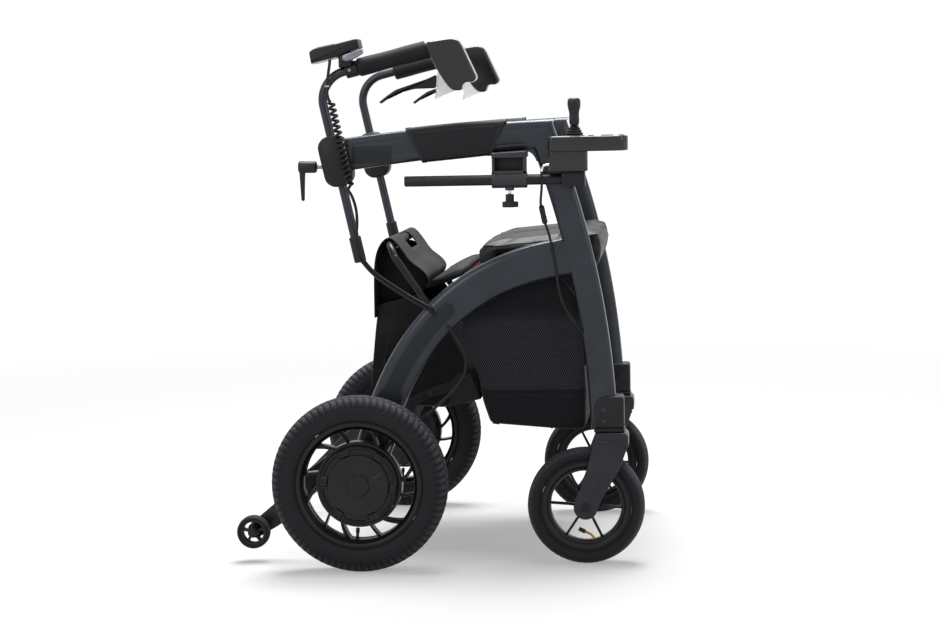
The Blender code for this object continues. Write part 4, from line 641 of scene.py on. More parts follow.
def rear_groove(angle, across, radius):
    """77 slanted shoulder blocks, two half-offset middle rows and two grooves round the tread."""
    side = np.abs(across)
    turn = 77 * angle / (2 * math.pi)
    shoulder = (turn + 26 * (side - 0.018) + 0.25 * np.sign(across)) % 1.0
    middle = (turn + 0.5 * (side > 0.0052) + 30 * side * np.sign(across)) % 1.0
    cut = np.clip((0.20 - np.abs(shoulder - 0.5)) / 0.06, 0, 1) * (side > 0.0122) * eased(0.1315, 0.1345, radius)
    cut = np.maximum(cut, np.clip((0.17 - np.abs(middle - 0.5)) / 0.06, 0, 1) * (side < 0.0112))
    cut = np.maximum(cut, np.clip((0.0012 - np.abs(side - 0.0117)) / 0.0005, 0, 1) * (radius > 0.14))
    cut = np.maximum(cut, np.clip((0.0009 - np.abs(side - 0.0052)) / 0.0004, 0, 1) * (radius > 0.14))
    ridge = np.clip((0.0007 - np.abs(radius - 0.1300)) / 0.0004, 0, 1)
    return 0.0019 * cut + 0.0006 * ridge


def front_groove(angle, across, radius):
    """Fine ribs round the tread, crossed by short sipes, and two lines on the side wall."""
    side = np.abs(across)
    ribs = 0.5 - 0.5 * np.cos(2 * math.pi * side / 0.0044)
    sipes = np.clip((0.13 - np.abs((60 * angle / (2 * math.pi) + 40 * across) % 1.0 - 0.5)) / 0.06, 0, 1)
    tread = eased(0.0945, 0.0965, radius)
    line = np.clip((0.0005 - np.abs(radius - 0.0925)) / 0.0003, 0, 1)
    return 0.0007 * ribs**4 * tread + 0.0006 * sipes * tread * (side > 0.004) + 0.0004 * line


def vane(middle, half, wide, inner, outer, start, sweep, edge=0.0012):
    """A plate between two radii that leans as it runs outwards; wide gives its widths at both ends."""
    share = np.linspace(0, 1, 7)
    radius = inner + (outer - inner) * share
    angle = np.radians(start + sweep * share)
    lean = angle + np.arctan2(radius * math.radians(sweep), outer - inner)
    line = radius[:, None] * np.stack([np.cos(angle), np.sin(angle)], -1)
    offset = np.stack([-np.sin(lean), np.cos(lean)], -1) * (np.interp(share, (0, 1), wide) / 2)[:, None]
    outline = np.vstack([line + offset, (line - offset)[::-1]]) + (middle[0], middle[2])
    return slab(outline, middle[1] - half, middle[1] + half, "Y", 0.0004, edge, 2)


def mirrored_ring(half, middle, steps):
    """A closed ring about the wheel's axle from one half of its profile."""
    whole = [(r, -h) for r, h in half] + [(r, h) for r, h in half[::-1]]
    return turned(whole, middle, "Y", steps, closed=True)


def disc(middle, y, radius, high, steps=24, edge=0.0004, axis="Y"):
    """A small flat-topped stud that starts at y along the axis and stands high proud."""
    profile = [(radius, y), (radius, y + high - edge), (radius - edge, y + high), (0.35 * radius, y + high + 0.00005)]
    return turned(profile, (middle[0], 0, middle[2]), axis, steps)


REAR_TYRE = ((0.1101, 0.0205), (0.1140, 0.0238), (0.1190, 0.0260), (0.1277, 0.0270), (0.1370, 0.0257), (0.1447, 0.0221), (0.1498, 0.0160), (0.1517, 0.0090), (0.1520, 0.0))
FRONT_TYRE = ((0.0789, 0.0133), (0.0815, 0.0168), (0.0855, 0.0198), (0.0900, 0.0208), (0.0955, 0.0190), (0.0993, 0.0130), (0.1010, 0.0060), (0.1013, 0.0))
REAR_RIM = ((0.0955, 0.0128), (0.0962, 0.0142), (0.0990, 0.0160), (0.1010, 0.0205), (0.1022, 0.0215), (0.1060, 0.0217), (0.1075, 0.0213), (0.1080, 0.0204), (0.1085, 0.0204), (0.1090, 0.0222), (0.1097, 0.0222))
FRONT_RIM = ((0.0610, 0.0078), (0.0620, 0.0096), (0.0660, 0.0104), (0.0680, 0.0130), (0.0700, 0.0136), (0.0755, 0.0138), (0.0762, 0.0130), (0.0768, 0.0130), (0.0772, 0.0143), (0.0785, 0.0143))
MOTOR = ((0.0600, 0.2737), (0.0664, 0.2760), (0.0680, 0.2790), (0.0682, 0.2820), (0.0682, 0.3170), (0.0676, 0.3190))


def motor_cover(middle):
    """The cover as a height over radius and angle: a rim with six bolt tabs, slots between, a flat disc."""
    radius = np.r_[np.linspace(0.0670, 0.0500, 34), np.linspace(0.0490, 0.0225, 8), 0.0212, 0.0206, 0.0200, 0.0192, 0.0186, 0.0180, 0.010, 0.002][:, None]
    angle = np.linspace(0, 2 * math.pi, 360, endpoint=False)[None]
    turn = np.degrees(angle) + 6
    from_tab = np.abs((turn + 30) % 60 - 30)
    level = 0.3196 + 0.0020 * eased(0.0672, 0.0655, radius) + 0 * angle
    tab = eased(8.5, 6.0, from_tab) * eased(0.0665, 0.0650, radius) * eased(0.0530, 0.0545, radius)
    slot = eased(10.0, 12.0, from_tab) * eased(0.0545, 0.0552, radius) * eased(0.0612, 0.0600, radius)
    groove = eased(9.0, 11.0, from_tab) * np.clip((0.0006 - np.abs(radius - 0.0632)) / 0.0003, 0, 1)
    level = level + 0.0026 * tab - 0.0026 * slot - 0.0008 * groove
    level = level + 0.0034 * eased(0.0530, 0.0520, radius)
    for place in (-62.0, 28.0):
        line = np.clip((0.0007 - np.abs(radius * np.radians((np.degrees(angle) - place + 180) % 360 - 180))) / 0.0004, 0, 1)
        level = level - 0.0005 * line * (radius < 0.050) * (radius > 0.024)
    facets = 0.0214 * np.cos(math.pi / 8) / np.cos((angle % (math.pi / 4)) - math.pi / 8)
    level = level + 0.0012 * eased(facets + 0.0002, facets - 0.0002, radius) + 0.0019 * eased(0.0194, 0.0187, radius)
    grid = np.stack([radius * np.cos(angle), level - 0 * radius, radius * np.sin(angle)], -1)
    return skin(grid + (middle[0], 0, middle[2]), around=True)


for name, side in SIDES:
    body = name + "_rear_wheel"
    skin_parts, worn = tyre(REAR_TYRE, REAR_MIDDLE, 77, 8, 58, rear_groove)
    piece("rear_tyre_tread_" + name, [skin_parts], TYRE_RUBBER, body, "rear_tyre_" + name, side, worn=worn)
    vanes = [
        vane(REAR_MIDDLE, 0.011, wide, 0.0725, 0.0990, 60 * turn + start, sweep)
        for turn in range(6)
        for start, sweep, wide in ((-16.0, 7.0, (0.0034, 0.0042)), (4.0, 15.0, (0.0048, 0.0075)))
    ]
    hub = mirrored_ring([(0.0685, 0.0118), (0.0690, 0.0125), (0.0730, 0.0125), (0.0735, 0.0118)], REAR_MIDDLE, 96)
    valve_way = np.array([math.cos(math.radians(-94)), 0, math.sin(math.radians(-94))])
    valve = [bar(REAR_MIDDLE + valve_way * a, REAR_MIDDLE + valve_way * b, r) for a, b, r in ((0.0775, 0.086, 0.0034), (0.085, 0.097, 0.0026))]
    piece("rear_rim_cast_" + name, [mirrored_ring(REAR_RIM, REAR_MIDDLE, 144), hub, *vanes, *valve], BLACK_ALLOY, body, "rear_rim_" + name, side)
    shell = turned(MOTOR, (0, 0, REAR_RADIUS), "Y", 128)
    bolts = [
        disc(REAR_MIDDLE + 0.0608 * np.array([math.cos(a), 0, math.sin(a)]), 0.3238, 0.0024, 0.0018, 12)
        for a in np.radians(np.arange(-6, 354, 60))
    ]
    piece("motor_casing_" + name, [shell, motor_cover(REAR_MIDDLE), *bolts], MOTOR_SHELL, body, "hub_motor_" + name, side)

    body = name + "_front_wheel"
    skin_parts, worn = tyre(FRONT_TYRE, FRONT_MIDDLE, 60, 6, 52, front_groove)
    piece("front_tyre_tread_" + name, [skin_parts], TYRE_RUBBER, body, "front_tyre_" + name, side, worn=worn)
    thin = [vane(FRONT_MIDDLE, 0.0042, (0.0046, 0.0042), 0.0110, 0.0630, 60 * turn - 4, 0.0) for turn in range(6)]
    hub = mirrored_ring([(0.0053, 0.0262), (0.0120, 0.0262), (0.0125, 0.0256), (0.0125, 0.0080), (0.0140, 0.0060)], FRONT_MIDDLE, 48)
    piece("front_rim_cast_" + name, [mirrored_ring(FRONT_RIM, FRONT_MIDDLE, 120), hub, *thin], BLACK_ALLOY, body, "front_rim_" + name, side)
    bend = route([(0.0136, 0.004, -0.0615), (0.0120, 0.004, -0.0560), (0.0065, 0.004, -0.0505), (-0.0030, 0.004, -0.0462)], 0.0012)
    stem = skin(carried(bend + FRONT_MIDDLE, round_section(0.0021, 14)))
    cap = bar(FRONT_MIDDLE + (-0.0022, 0.004, -0.0466), FRONT_MIDDLE + (-0.0132, 0.004, -0.0412), 0.0036)
    piece("caster_valve_" + name, [stem], BRASS, body, side=side, slot="black_alloy")
    piece("caster_valve_cap_" + name, [cap], BLACK_NYLON, body, side=side, slot="black_plastic")
print("wheels done")


# %% [markdown]
# Castings and brackets. Most are slabs: an outline with softened corners, pulled across the chair, with
# quarter-round rims that catch the light as the photograph's edges do. Screws and studs sit on them.


# %% Casters, forks and anti-tippers
SWIVEL_X, FORK_CROWN, FORK_TOP = 0.428, 0.2060, 0.2302
TIP_AXLE, TIP_PIVOT = np.array([-0.2025, 0.0, 0.053]), np.array([0.012, 0.0, 0.200])


def arc_points(centre, radius, first, last, count):
    """Points along part of a circle in the XZ plane."""
    angle = np.radians(np.linspace(first, last, count))
    return np.stack([centre[0] + radius * np.cos(angle), centre[-1] + radius * np.sin(angle)], -1)


HOUSING = [(0.4008, 0.2375), (0.4517, 0.2375), (0.4517, 0.2925), (0.4130, 0.2925), (0.4008, 0.2790)]
COLLAR = [(0.4000, 0.2305), (0.4525, 0.2305), (0.4525, 0.2372), (0.4000, 0.2372)]
CROWN = [(0.4023, FORK_TOP), (0.4010, 0.2230), (0.3965, 0.2050), (0.4560, 0.2030), (0.4586, 0.2060), (0.4586, 0.2250), (0.4540, FORK_TOP)]
BLADE_TOP = route([(0.4560, 0.2010, 0), (0.4480, 0.2080, 0), (0.4300, 0.2145, 0), (0.4030, 0.2185, 0)], 0.006)[:, :2]
BLADE = np.vstack([
    [(0.3995, 0.2140), (0.3840, 0.1580)], arc_points(FRONT_MIDDLE, 0.0205, 165, 355, 20),
    [(0.4148, 0.1215), (0.4425, 0.1665), (0.4540, 0.1978)], BLADE_TOP,
])
TIP_ARM = np.vstack([
    arc_points(TIP_AXLE, 0.0140, 130, 300, 14), [(-0.1574, 0.0629), (-0.0837, 0.1274), (-0.0400, 0.1640)],
    arc_points(TIP_PIVOT, 0.0190, -60, 100, 14), [(-0.0496, 0.2005), (-0.1079, 0.1596), (-0.1688, 0.0990)],
])
for name, side in SIDES:
    frame_body, fork_body = name + "_frame", name + "_caster"
    housing = [slab(HOUSING, 0.2105, 0.2515, "Y", (0.003, 0.004, 0.006, 0.009, 0.007), 0.003), slab(COLLAR, 0.2100, 0.2520, "Y", 0.002, 0.0012)]
    piece("caster_housing_cast_" + name, housing, BLACK_NYLON, frame_body, "caster_housing_" + name, side)
    screws = [disc((x, 0, z), 0.2513, 0.0030, 0.0006, 20) for x, z in ((0.4166, 0.2692), (0.4171, 0.2495))]
    piece("caster_housing_screws_" + name, screws, GLOSS_ABS, frame_body, side=side, slot="black_plastic")

    crown = slab(CROWN, FRAME_Y - 0.0295, FRAME_Y + 0.0295, "Y", 0.003, 0.0025)
    blades = [slab(BLADE, FRAME_Y + a, FRAME_Y + b, "Y", 0.0012, 0.0016) for a, b in ((0.0265, 0.0320), (-0.0320, -0.0265))]
    shaft = bar((SWIVEL_X, FRAME_Y, 0.222), (SWIVEL_X, FRAME_Y, 0.260), 0.006)
    axle = bar(FRONT_MIDDLE - (0, 0.030, 0), FRONT_MIDDLE + (0, 0.030, 0), 0.005)
    piece("caster_fork_forged_" + name, [crown, *blades, shaft, axle], FORK_ALLOY, fork_body, "caster_fork_" + name, side)
    ring = [(0.0045, 0.0318), (0.0076, 0.0318), (0.0076, 0.0345), (0.0070, 0.0352), (0.0040, 0.0352), (0.0036, 0.0346), (0.0036, 0.0332)]
    bolt = turned([(r, FRAME_Y + h) for r, h in ring] + [(0.0002, FRAME_Y + 0.0332)], FRONT_MIDDLE * (1, 0, 1), "Y", 32)
    nut = turned([(0.0075, FRAME_Y - h) for h in (0.0318, 0.0348)] + [(0.0066, FRAME_Y - 0.0353), (0.0002, FRAME_Y - 0.0353)], FRONT_MIDDLE * (1, 0, 1), "Y", 6)
    piece("caster_axle_bolt_" + name, [bolt, nut], BLACK_ALLOY, fork_body, side=side, slot="black_alloy")

    arm_low, arm_high = FRAME_Y - HALF - GAP - 0.012, FRAME_Y - HALF - GAP
    pins = [
        bar(TIP_PIVOT + (0, 0.2120, 0), TIP_PIVOT + (0, 0.2282, 0), 0.006),
        bar(TIP_AXLE + (0, 0.2120, 0), TIP_AXLE + (0, 0.2395, 0), 0.004),
        disc(TIP_AXLE, FRAME_Y + 0.0075, 0.0070, 0.0030, 6),
    ]
    piece("antitip_arm_bar_" + name, [slab(TIP_ARM, arm_low, arm_high, "Y", 0.004, 0.003), *pins], BLACK_NYLON, name + "_antitip_arm", "antitip_arm_" + name, side)
    middle = TIP_AXLE + (0, FRAME_Y - 0.004, 0)
    roller = mirrored_ring([(0.0212, 0.0070), (0.0218, 0.0095), (0.0245, 0.0110), (0.0270, 0.0103), (0.0288, 0.0070), (0.0292, 0.0030)], middle, 72)
    rim = mirrored_ring([(0.0185, 0.0070), (0.0190, 0.0080), (0.0216, 0.0085)], middle, 60)
    hub = mirrored_ring([(0.0043, 0.0108), (0.0085, 0.0108), (0.0090, 0.0100)], middle, 36)
    struts = [vane(middle, 0.0055, (0.0042, 0.0052), 0.0080, 0.0200, 72 * turn + 20, 0.0, 0.0008) for turn in range(5)]
    piece("antitip_wheel_turned_" + name, [roller], TYRE_RUBBER, name + "_antitip_wheel", "antitip_wheel_" + name, side)
    piece("antitip_wheel_hub_" + name, [rim, hub, *struts], GREY_NYLON, name + "_antitip_wheel", side=side, slot="black_plastic")


# %% [markdown]
# Handles. The stem is one bent tube: a straight run, an arc and a second straight run, written as
# stations along its centre line. The brake housing has the widest quarter-rounds of the object.


# %% Handles
STEM_RADIUS, BEND_RADIUS, CLAMP_Z = 0.00775, 0.050, 0.6925
RISE = math.radians(13.3)
GRIP_WAY = np.array([math.cos(RISE), 0.0, math.sin(RISE)])
STEM_CORNER = np.array([-0.0676, 0.0, 0.8438])
GRIP_UP = np.array([-math.sin(RISE), 0.0, math.cos(RISE)])


def stem_at(far):
    return STEM_FOOT + STEM_WAY * far


def grip_at(x):
    return STEM_CORNER + GRIP_WAY * (x - STEM_CORNER[0]) / GRIP_WAY[0]


def stem_path():
    """Straight up the stem, round the bend and along the grip to just inside the brake housing."""
    turn = math.pi / 2 + LEAN - RISE
    tangent = BEND_RADIUS * math.tan(turn / 2)
    start = STEM_CORNER - STEM_WAY * tangent
    centre = start + STEM_AHEAD * BEND_RADIUS
    angle = np.linspace(0, turn, 26)[:, None]
    bend = centre - STEM_AHEAD * BEND_RADIUS * np.cos(angle) + STEM_WAY * BEND_RADIUS * np.sin(angle)
    low = stem_at(0.0043)
    rise = low + (start - low) * np.linspace(0, 1, 12)[:-1, None]
    ahead = bend[-1] + (grip_at(0.1495) - bend[-1]) * np.linspace(0, 1, 10)[1:, None]
    return np.vstack([rise, bend, ahead]) + (0, FRAME_Y, 0)


def block_point(across, along):
    return stem_at((0.702 - STEM_FOOT[2]) / STEM_WAY[2] + along) + STEM_AHEAD * across


def frame_plane(points):
    return np.asarray(points)[:, [0, 2]]


HALF_DEEP, HALF_LONG = 0.025, 0.044
BLOCK = frame_plane([
    block_point(a, b)
    for a, b in (
        (-HALF_DEEP, 0.012 - HALF_LONG), (-HALF_DEEP, HALF_LONG - 0.012), (0.012 - HALF_DEEP, HALF_LONG),
        (HALF_DEEP - 0.012, HALF_LONG), (HALF_DEEP, HALF_LONG - 0.012), (HALF_DEEP, 0.012 - HALF_LONG),
        (HALF_DEEP - 0.012, -HALF_LONG), (0.012 - HALF_DEEP, -HALF_LONG),
    )
])
HANDLE_HEAD = [
    (0.1194, 0.9009), (0.1781, 0.9090), (0.2100, 0.8392), (0.2016, 0.8319), (0.1865, 0.8329), (0.1837, 0.8186),
    (0.1673, 0.8184), (0.1564, 0.8303), (0.1441, 0.8505), (0.1411, 0.8549),
]
HEAD_CORNERS = (0.0110, 0.016, 0.0120, 0.0074, 0.0070, 0.0074, 0.0074, 0.0068, 0.0068, 0.0030)
LEVER = [
    (0.0395, 0.8015), (0.0540, 0.8125), (0.0683, 0.8218), (0.0962, 0.8308), (0.1230, 0.8392), (0.1395, 0.8465), (0.1378, 0.8232),
    (0.1006, 0.8226), (0.0751, 0.8165), (0.0560, 0.8075), (0.0425, 0.7985),
]
WEB = [
    (0.1409, 0.8496), (0.1394, 0.8330), (0.1378, 0.8180), (0.1356, 0.8045), (0.1450, 0.8085), (0.1570, 0.8135), (0.1696, 0.8181),
    (0.1760, 0.8300), (0.1560, 0.8500), (0.1470, 0.8540),
]
GRIP_RADIUS, GRIP_START = 0.0158, 0.0045
head_way = np.array([0.1194 - 0.1411, 0.0, 0.9009 - 0.8549])
head_out = np.array([-head_way[2], 0.0, head_way[0]]) / np.linalg.norm(head_way)
GRIP_END = (np.array([0.1194, 0.0, 0.9009]) + head_out * GAP, head_out)


def grip_skin():
    """A foam sleeve: rounded at the rear, slightly waisted, cut along the housing's slanted face."""
    x = np.r_[GRIP_START + np.array([0.0, 0.0004, 0.0012, 0.0026]), np.linspace(0.012, 0.092, 24), 0.100]
    radius = np.r_[GRIP_RADIUS - np.array([0.0028, 0.0014, 0.0005, 0.0]), np.full(24, GRIP_RADIUS), GRIP_RADIUS]
    radius = radius - 0.0007 * np.sin(np.pi * np.clip((x - 0.02) / 0.075, 0, 1)) ** 2
    path = np.array([grip_at(v) for v in x]) + (0, FRAME_Y, 0)
    return skin(trimmed(path, round_section(1.0, 40)[None] * radius[:, None, None], None, GRIP_END))


for name, side in SIDES:
    frame_body, handle_body = name + "_frame", name + "_handle"
    piece("clamp_block_moulded_" + name, [slab(BLOCK, FRAME_Y - 0.020, FRAME_Y + 0.020, "Y", 0.011, 0.0055)], BLACK_NYLON, frame_body, "clamp_block_" + name, side)
    head = turned([(0.0060, -0.1039), (0.0086, -0.1037), (0.0103, -0.1022), (0.0105, -0.1000), (0.0105, -0.0760), (0.0098, -0.0735), (0.0080, -0.0722), (0.0045, -0.0720)], (0, FRAME_Y, CLAMP_Z), "X", 40)
    stud = bar((-0.0735, FRAME_Y, CLAMP_Z), (-0.0563, FRAME_Y, CLAMP_Z), 0.0038)
    levers = carried(
        [(-0.0975, FRAME_Y, z) for z in (0.6925, 0.684, 0.672, 0.655, 0.640, 0.6355, 0.6342)],
        np.stack([box_section(b, a, c) for a, b, c in ((0.0060, 0.0104, 0.0035), (0.0059, 0.0098, 0.0035), (0.0055, 0.0086, 0.003), (0.0048, 0.0072, 0.003), (0.0040, 0.0064, 0.003), (0.0034, 0.0054, 0.003), (0.0020, 0.0030, 0.0015))]), (0, 1, 0))
    piece("clamp_lever_moulded_" + name, [head, skin(levers)], GREY_NYLON, name + "_clamp", "clamp_lever_" + name, side)
    piece("clamp_stud_" + name, [stud], STEEL, name + "_clamp", side=side, slot="black_alloy")

    foot = [(stem_at(0.0) + (0, FRAME_Y, 0)), STEM_WAY]
    sleeve_path = np.array([stem_at(a) for a in (0.0, 0.0006, 0.0020, 0.0400, 0.0436, 0.0450)]) + (0, FRAME_Y, 0)
    sleeve_radius = np.array([0.0080, 0.0094, 0.0105, 0.0105, 0.0105, 0.0096])
    piece("stem_foot_moulded_" + name, [skin(carried(sleeve_path, round_section(1.0, 36)[None] * sleeve_radius[:, None, None], (0, 1, 0)))], BLACK_NYLON, name + "_stem_foot", "stem_foot_" + name, side)
    piece("handle_stem_tube_" + name, [skin(carried(stem_path(), round_section(STEM_RADIUS, 32), (0, 1, 0)))], POWDER_COAT, handle_body, "handle_stem_" + name, side)
    piece("grip_foam_" + name, [grip_skin()], GRIP_FOAM, handle_body, "grip_" + name, side, sharp=50)
    piece("brake_head_moulded_" + name, [slab(HANDLE_HEAD, FRAME_Y - 0.019, FRAME_Y + 0.019, "Y", HEAD_CORNERS, 0.0044, 6, (0.03, 0.3, 0.6, 0.85, 0.97))], GLOSS_ABS, handle_body, "brake_housing_" + name, side)
    boss = [bar((0.163, FRAME_Y - 0.0034, 0.840), (0.163, FRAME_Y + 0.0034, 0.840), 0.0116)]
    piece("brake_lever_cast_" + name, [slab(LEVER, FRAME_Y - 0.0065, FRAME_Y + 0.0065, "Y", 0.004, 0.0022), *boss], LEVER_ALLOY, name + "_brake_lever", "brake_lever_" + name, side)
    piece("brake_lever_web_" + name, [slab(WEB, FRAME_Y - 0.0022, FRAME_Y + 0.0022, "Y", 0.0012, 0.0006)], FROSTED, name + "_brake_lever", side=side, slot="black_alloy")
print("handles done")


# %% [markdown]
# Controls, on the right side only, so their Y values are written as they lie. The panel's keys are
# membrane domes without travel. The boot is a bellows: its radius is a sine along its height.


# %% Controls
ROD_Y, ROD_Z, STICK_Z, KNOB_X = -0.262, 0.6658, 0.738, 0.2633
STICK = np.array([0.375, -0.2715, STICK_Z])
UNIT = [
    (-0.0769, 0.8890), (-0.0684, 0.8943), (-0.0307, 0.9016), (0.0013, 0.9090), (0.0069, 0.9096), (0.0099, 0.8939),
    (-0.0243, 0.8824), (-0.0285, 0.8797), (-0.0740, 0.8692),
]
# The strip along the unit's underside is painted light: the face that the floor lights, drawn near-white.
UNIT_LIT_UNDERSIDE = [(-0.0745, 0.8700), (-0.0735, 0.8684), (-0.0300, 0.8786), (-0.0312, 0.8802)]
UNIT_GLASS = [(-0.0640, 0.8953), (-0.0335, 0.9012), (-0.0336, 0.9020), (-0.0642, 0.8961)]
PADDLE = [
    (-0.0190, 0.8745), (-0.0120, 0.8715), (0.0050, 0.8770), (0.0176, 0.8850), (0.0165, 0.8930), (0.0000, 0.8865),
    (-0.0150, 0.8830), (-0.0190, 0.8800),
]
NECK = [(-0.0270, 0.8610), (-0.0060, 0.8640), (-0.0060, 0.8920), (-0.0270, 0.8850)]
PANEL = [
    (0.3370, -0.2465), (0.3310, -0.2525), (0.3310, -0.2905), (0.3370, -0.2965), (0.4030, -0.2965), (0.4130, -0.2945),
    (0.4230, -0.2965), (0.4450, -0.2965), (0.4560, -0.2925), (0.4630, -0.2845), (0.4650, -0.2780), (0.4650, -0.2650),
    (0.4630, -0.2585), (0.4560, -0.2505), (0.4450, -0.2465), (0.4230, -0.2465), (0.4130, -0.2485), (0.4030, -0.2465),
]
BODY = [(0.3315, -0.2885), (0.3970, -0.2885), (0.3970, -0.2520), (0.3315, -0.2520)]
BRACKET_START, BRACKET_END = 0.234, 0.293


def ground(outline_xz, low, high, corner, edge):
    return slab(outline_xz, low, high, "Y", corner, edge)


def bellows(start, end):
    """Radius falls from the base to the stick while a sine makes four folds in it. The thin wall
    is the part of that curve between two shares of the height, closed by its own copy 0.8 mm inside."""
    t = np.linspace(start, end, 32)
    radius = 0.0160 - 0.0088 * t + 0.0014 * np.cos(t * 4 * 2 * math.pi) * (1 - 0.35 * t)
    outer = np.column_stack([radius, 0.0004 + 0.0168 * t])
    return turned(np.vstack([outer, (outer - (0.0008, 0.0))[::-1]]), STICK, "Z", 64, closed=True)


def lobed(radius, levels, lobes, count=5, steps=80):
    """A knob whose radius follows count lobes round the axis; levels are (share of the radius, height)."""
    angle = np.linspace(0, 2 * math.pi, steps, endpoint=False)
    ring = radius * (1 + lobes * np.cos(count * angle))
    rows = [np.stack([KNOB_X + s * ring * np.cos(angle), ROD_Y + s * ring * np.sin(angle), np.full(steps, z)], -1) for s, z in levels]
    return skin(np.stack(rows))


unit = [ground(UNIT, -0.2530, -0.2050, 0.0025, 0.0028), ground(NECK, -0.2480, -0.2180, 0.002, 0.0012)]
collar = [(0.0079, -0.0170), (0.0130, -0.0170), (0.0135, -0.0165), (0.0135, 0.0025), (0.0130, 0.0030), (0.0079, 0.0030)]
ring_path = np.array([grip_at(x) for x in np.linspace(-0.0170, 0.0030, 3)]) + (0, -FRAME_Y, 0)
screw_at = grip_at(-0.0090) + (0, -0.2445, -0.0010)
unit += [skin(carried(ring_path, round_section(0.0135, 40)))]
piece("display_unit_shell", unit, BLACK_NYLON, "right_handle", "display_unit")
# Painted light: a near-white strip along the unit's underside, where the floor lights it.
piece("display_unit_underside_light", [ground(UNIT_LIT_UNDERSIDE, -0.2505, -0.2075, 0.0004, 0.0003)], PALE_NYLON_AND_UNDERSIDE_LIGHT, "right_handle", slot="black_plastic")
piece("display_unit_glass", [ground(UNIT_GLASS, -0.2480, -0.2100, 0.0002, 0.0002)], GLOSS_ABS, "right_handle", slot="gloss_black")
screw = turned([(0.0030, 0.2440), (0.0030, 0.2462), (0.0026, 0.2467), (0.0014, 0.2467), (0.0012, 0.2458), (0.0002, 0.2458)], screw_at * (1, 0, 1), "Y", 24)
piece("display_clamp_screw", [screw], STEEL, "right_handle", side=-1, slot="black_alloy")
paddle = [ground(PADDLE, -0.2600, -0.2486, 0.003, 0.0025), bar((-0.0145, -0.2500, 0.8775), (-0.0145, -0.2428, 0.8775), 0.0020)]
piece("thumb_paddle_moulded", paddle, SILVER_SATIN, "paddle", "thumb_paddle")

panel = [slab(PANEL, 0.7125, STICK_Z, "Z", 0.004, 0.0030, 4), slab(BODY, 0.679, 0.720, "Z", 0.009, 0.002)]
piece("joystick_housing_shell", panel, GLOSS_ABS, "side_control", "joystick_housing")
keys = [
    slab([(x - w, -0.2715 - h), (x + w, -0.2715 - h), (x + w, -0.2715 + h), (x - w, -0.2715 + h)], STICK_Z - 0.0004, STICK_Z + 0.0014, "Z", 0.004, 0.0009)
    for x, w, h in ((0.4030, 0.0045, 0.0110), (0.4300, 0.0100, 0.0150), (0.4535, 0.0045, 0.0090))
]
piece("joystick_keys", keys, BLACK_NYLON, "side_control", slot="black_plastic")
lower = piece("joystick_bellows_lower", [bellows(0.0, 0.5)], GRIP_FOAM, None, "joystick_boot", sharp=60)
upper = piece("joystick_bellows_upper", [bellows(0.5, 1.0)], GRIP_FOAM, None, sharp=60, slot="grip_rubber")
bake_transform(lower)
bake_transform(upper)
stick = [
    (0.0040, 0.0030), (0.0040, 0.0170), (0.0062, 0.0176), (0.0074, 0.0190), (0.0086, 0.0250), (0.0083, 0.0330), (0.0086, 0.0400),
    (0.0100, 0.0460), (0.0110, 0.0520), (0.0110, 0.0575), (0.0100, 0.0615), (0.0080, 0.0634), (0.0040, 0.0640), (0.0004, 0.0640),
]
smooth_stick = evened([(r, z, 0) for r, z in stick], 44)[:, :2]
piece("joystick_stick_moulded", [turned(smooth_stick, STICK, "Z", 48)], GREY_NYLON, "joystick", "joystick_stick", sharp=60)

rod = [bar((0.084, ROD_Y, ROD_Z), (0.390, ROD_Y, ROD_Z), 0.009, 40, 0.0014)]
rod += [slab([(0.352, ROD_Y - 0.0135), (0.3915, ROD_Y - 0.0135), (0.3915, ROD_Y + 0.0135), (0.352, ROD_Y + 0.0135)], 0.6530, 0.6787, "Z", 0.003, 0.0015)]
piece("joystick_rod_tube", rod, BLACK_NYLON, "side_control", "joystick_rod")
elbow = route([(0.3345, -0.2742, 0.6905), (0.3275, -0.2745, 0.6900), (0.3215, -0.2764, 0.6868), (0.3189, -0.2786, 0.6790)], 0.001)
piece("joystick_cable_elbow", [skin(carried(elbow, round_section(0.0026, 16)))], CHROME, "side_control", slot="black_alloy")

under = [(x, float(arm_line(x) - arm_depth(x) / 2) - 0.0004) for x in np.linspace(BRACKET_START, BRACKET_END, 5)]
top_plate = ground([*under, (BRACKET_END, 0.7035), (BRACKET_START, 0.7035)], -0.2740, -0.2195, 0.001, 0.0008)
posts = [
    slab([(a, -0.2720), (b, -0.2720), (b, -0.2520), (a, -0.2520)], 0.6680, 0.7050, "Z", 0.0012, 0.0003)
    for a, b in ((BRACKET_START + 0.0003, BRACKET_START + 0.0048), (BRACKET_END - 0.0063, BRACKET_END - 0.0003))
]
sill = ground([(BRACKET_START + 0.001, 0.6760), (BRACKET_END - 0.001, 0.6760), (BRACKET_END - 0.001, 0.6815), (BRACKET_START + 0.001, 0.6815)], -0.2720, -0.2520, 0.001, 0.0006)
half_barrel = [(0.0093, BRACKET_START - 0.0005), (0.0130, BRACKET_START - 0.0005), (0.0138, BRACKET_START + 0.0004)]
barrel = turned(half_barrel + [(r, BRACKET_START + BRACKET_END - x) for r, x in half_barrel[::-1]], (0, ROD_Y, ROD_Z), "X", 56, closed=True)
nut = turned([(0.0078, 0.6480), (0.0078, 0.6560)], (KNOB_X, ROD_Y, 0), "Z", 6)
back_wall = ground([(BRACKET_START + 0.004, 0.6800), (BRACKET_END - 0.005, 0.6800), (BRACKET_END - 0.005, 0.7045), (BRACKET_START + 0.004, 0.7045)], -0.2545, -0.2525, 0.001, 0.0004)
piece("rod_bracket_liner", [back_wall], BLACK_NYLON, "right_frame", slot="black_plastic")
piece("rod_bracket_cast", [top_plate, *posts, sill, barrel, nut], CAST_ALLOY, "right_frame", "rod_bracket")
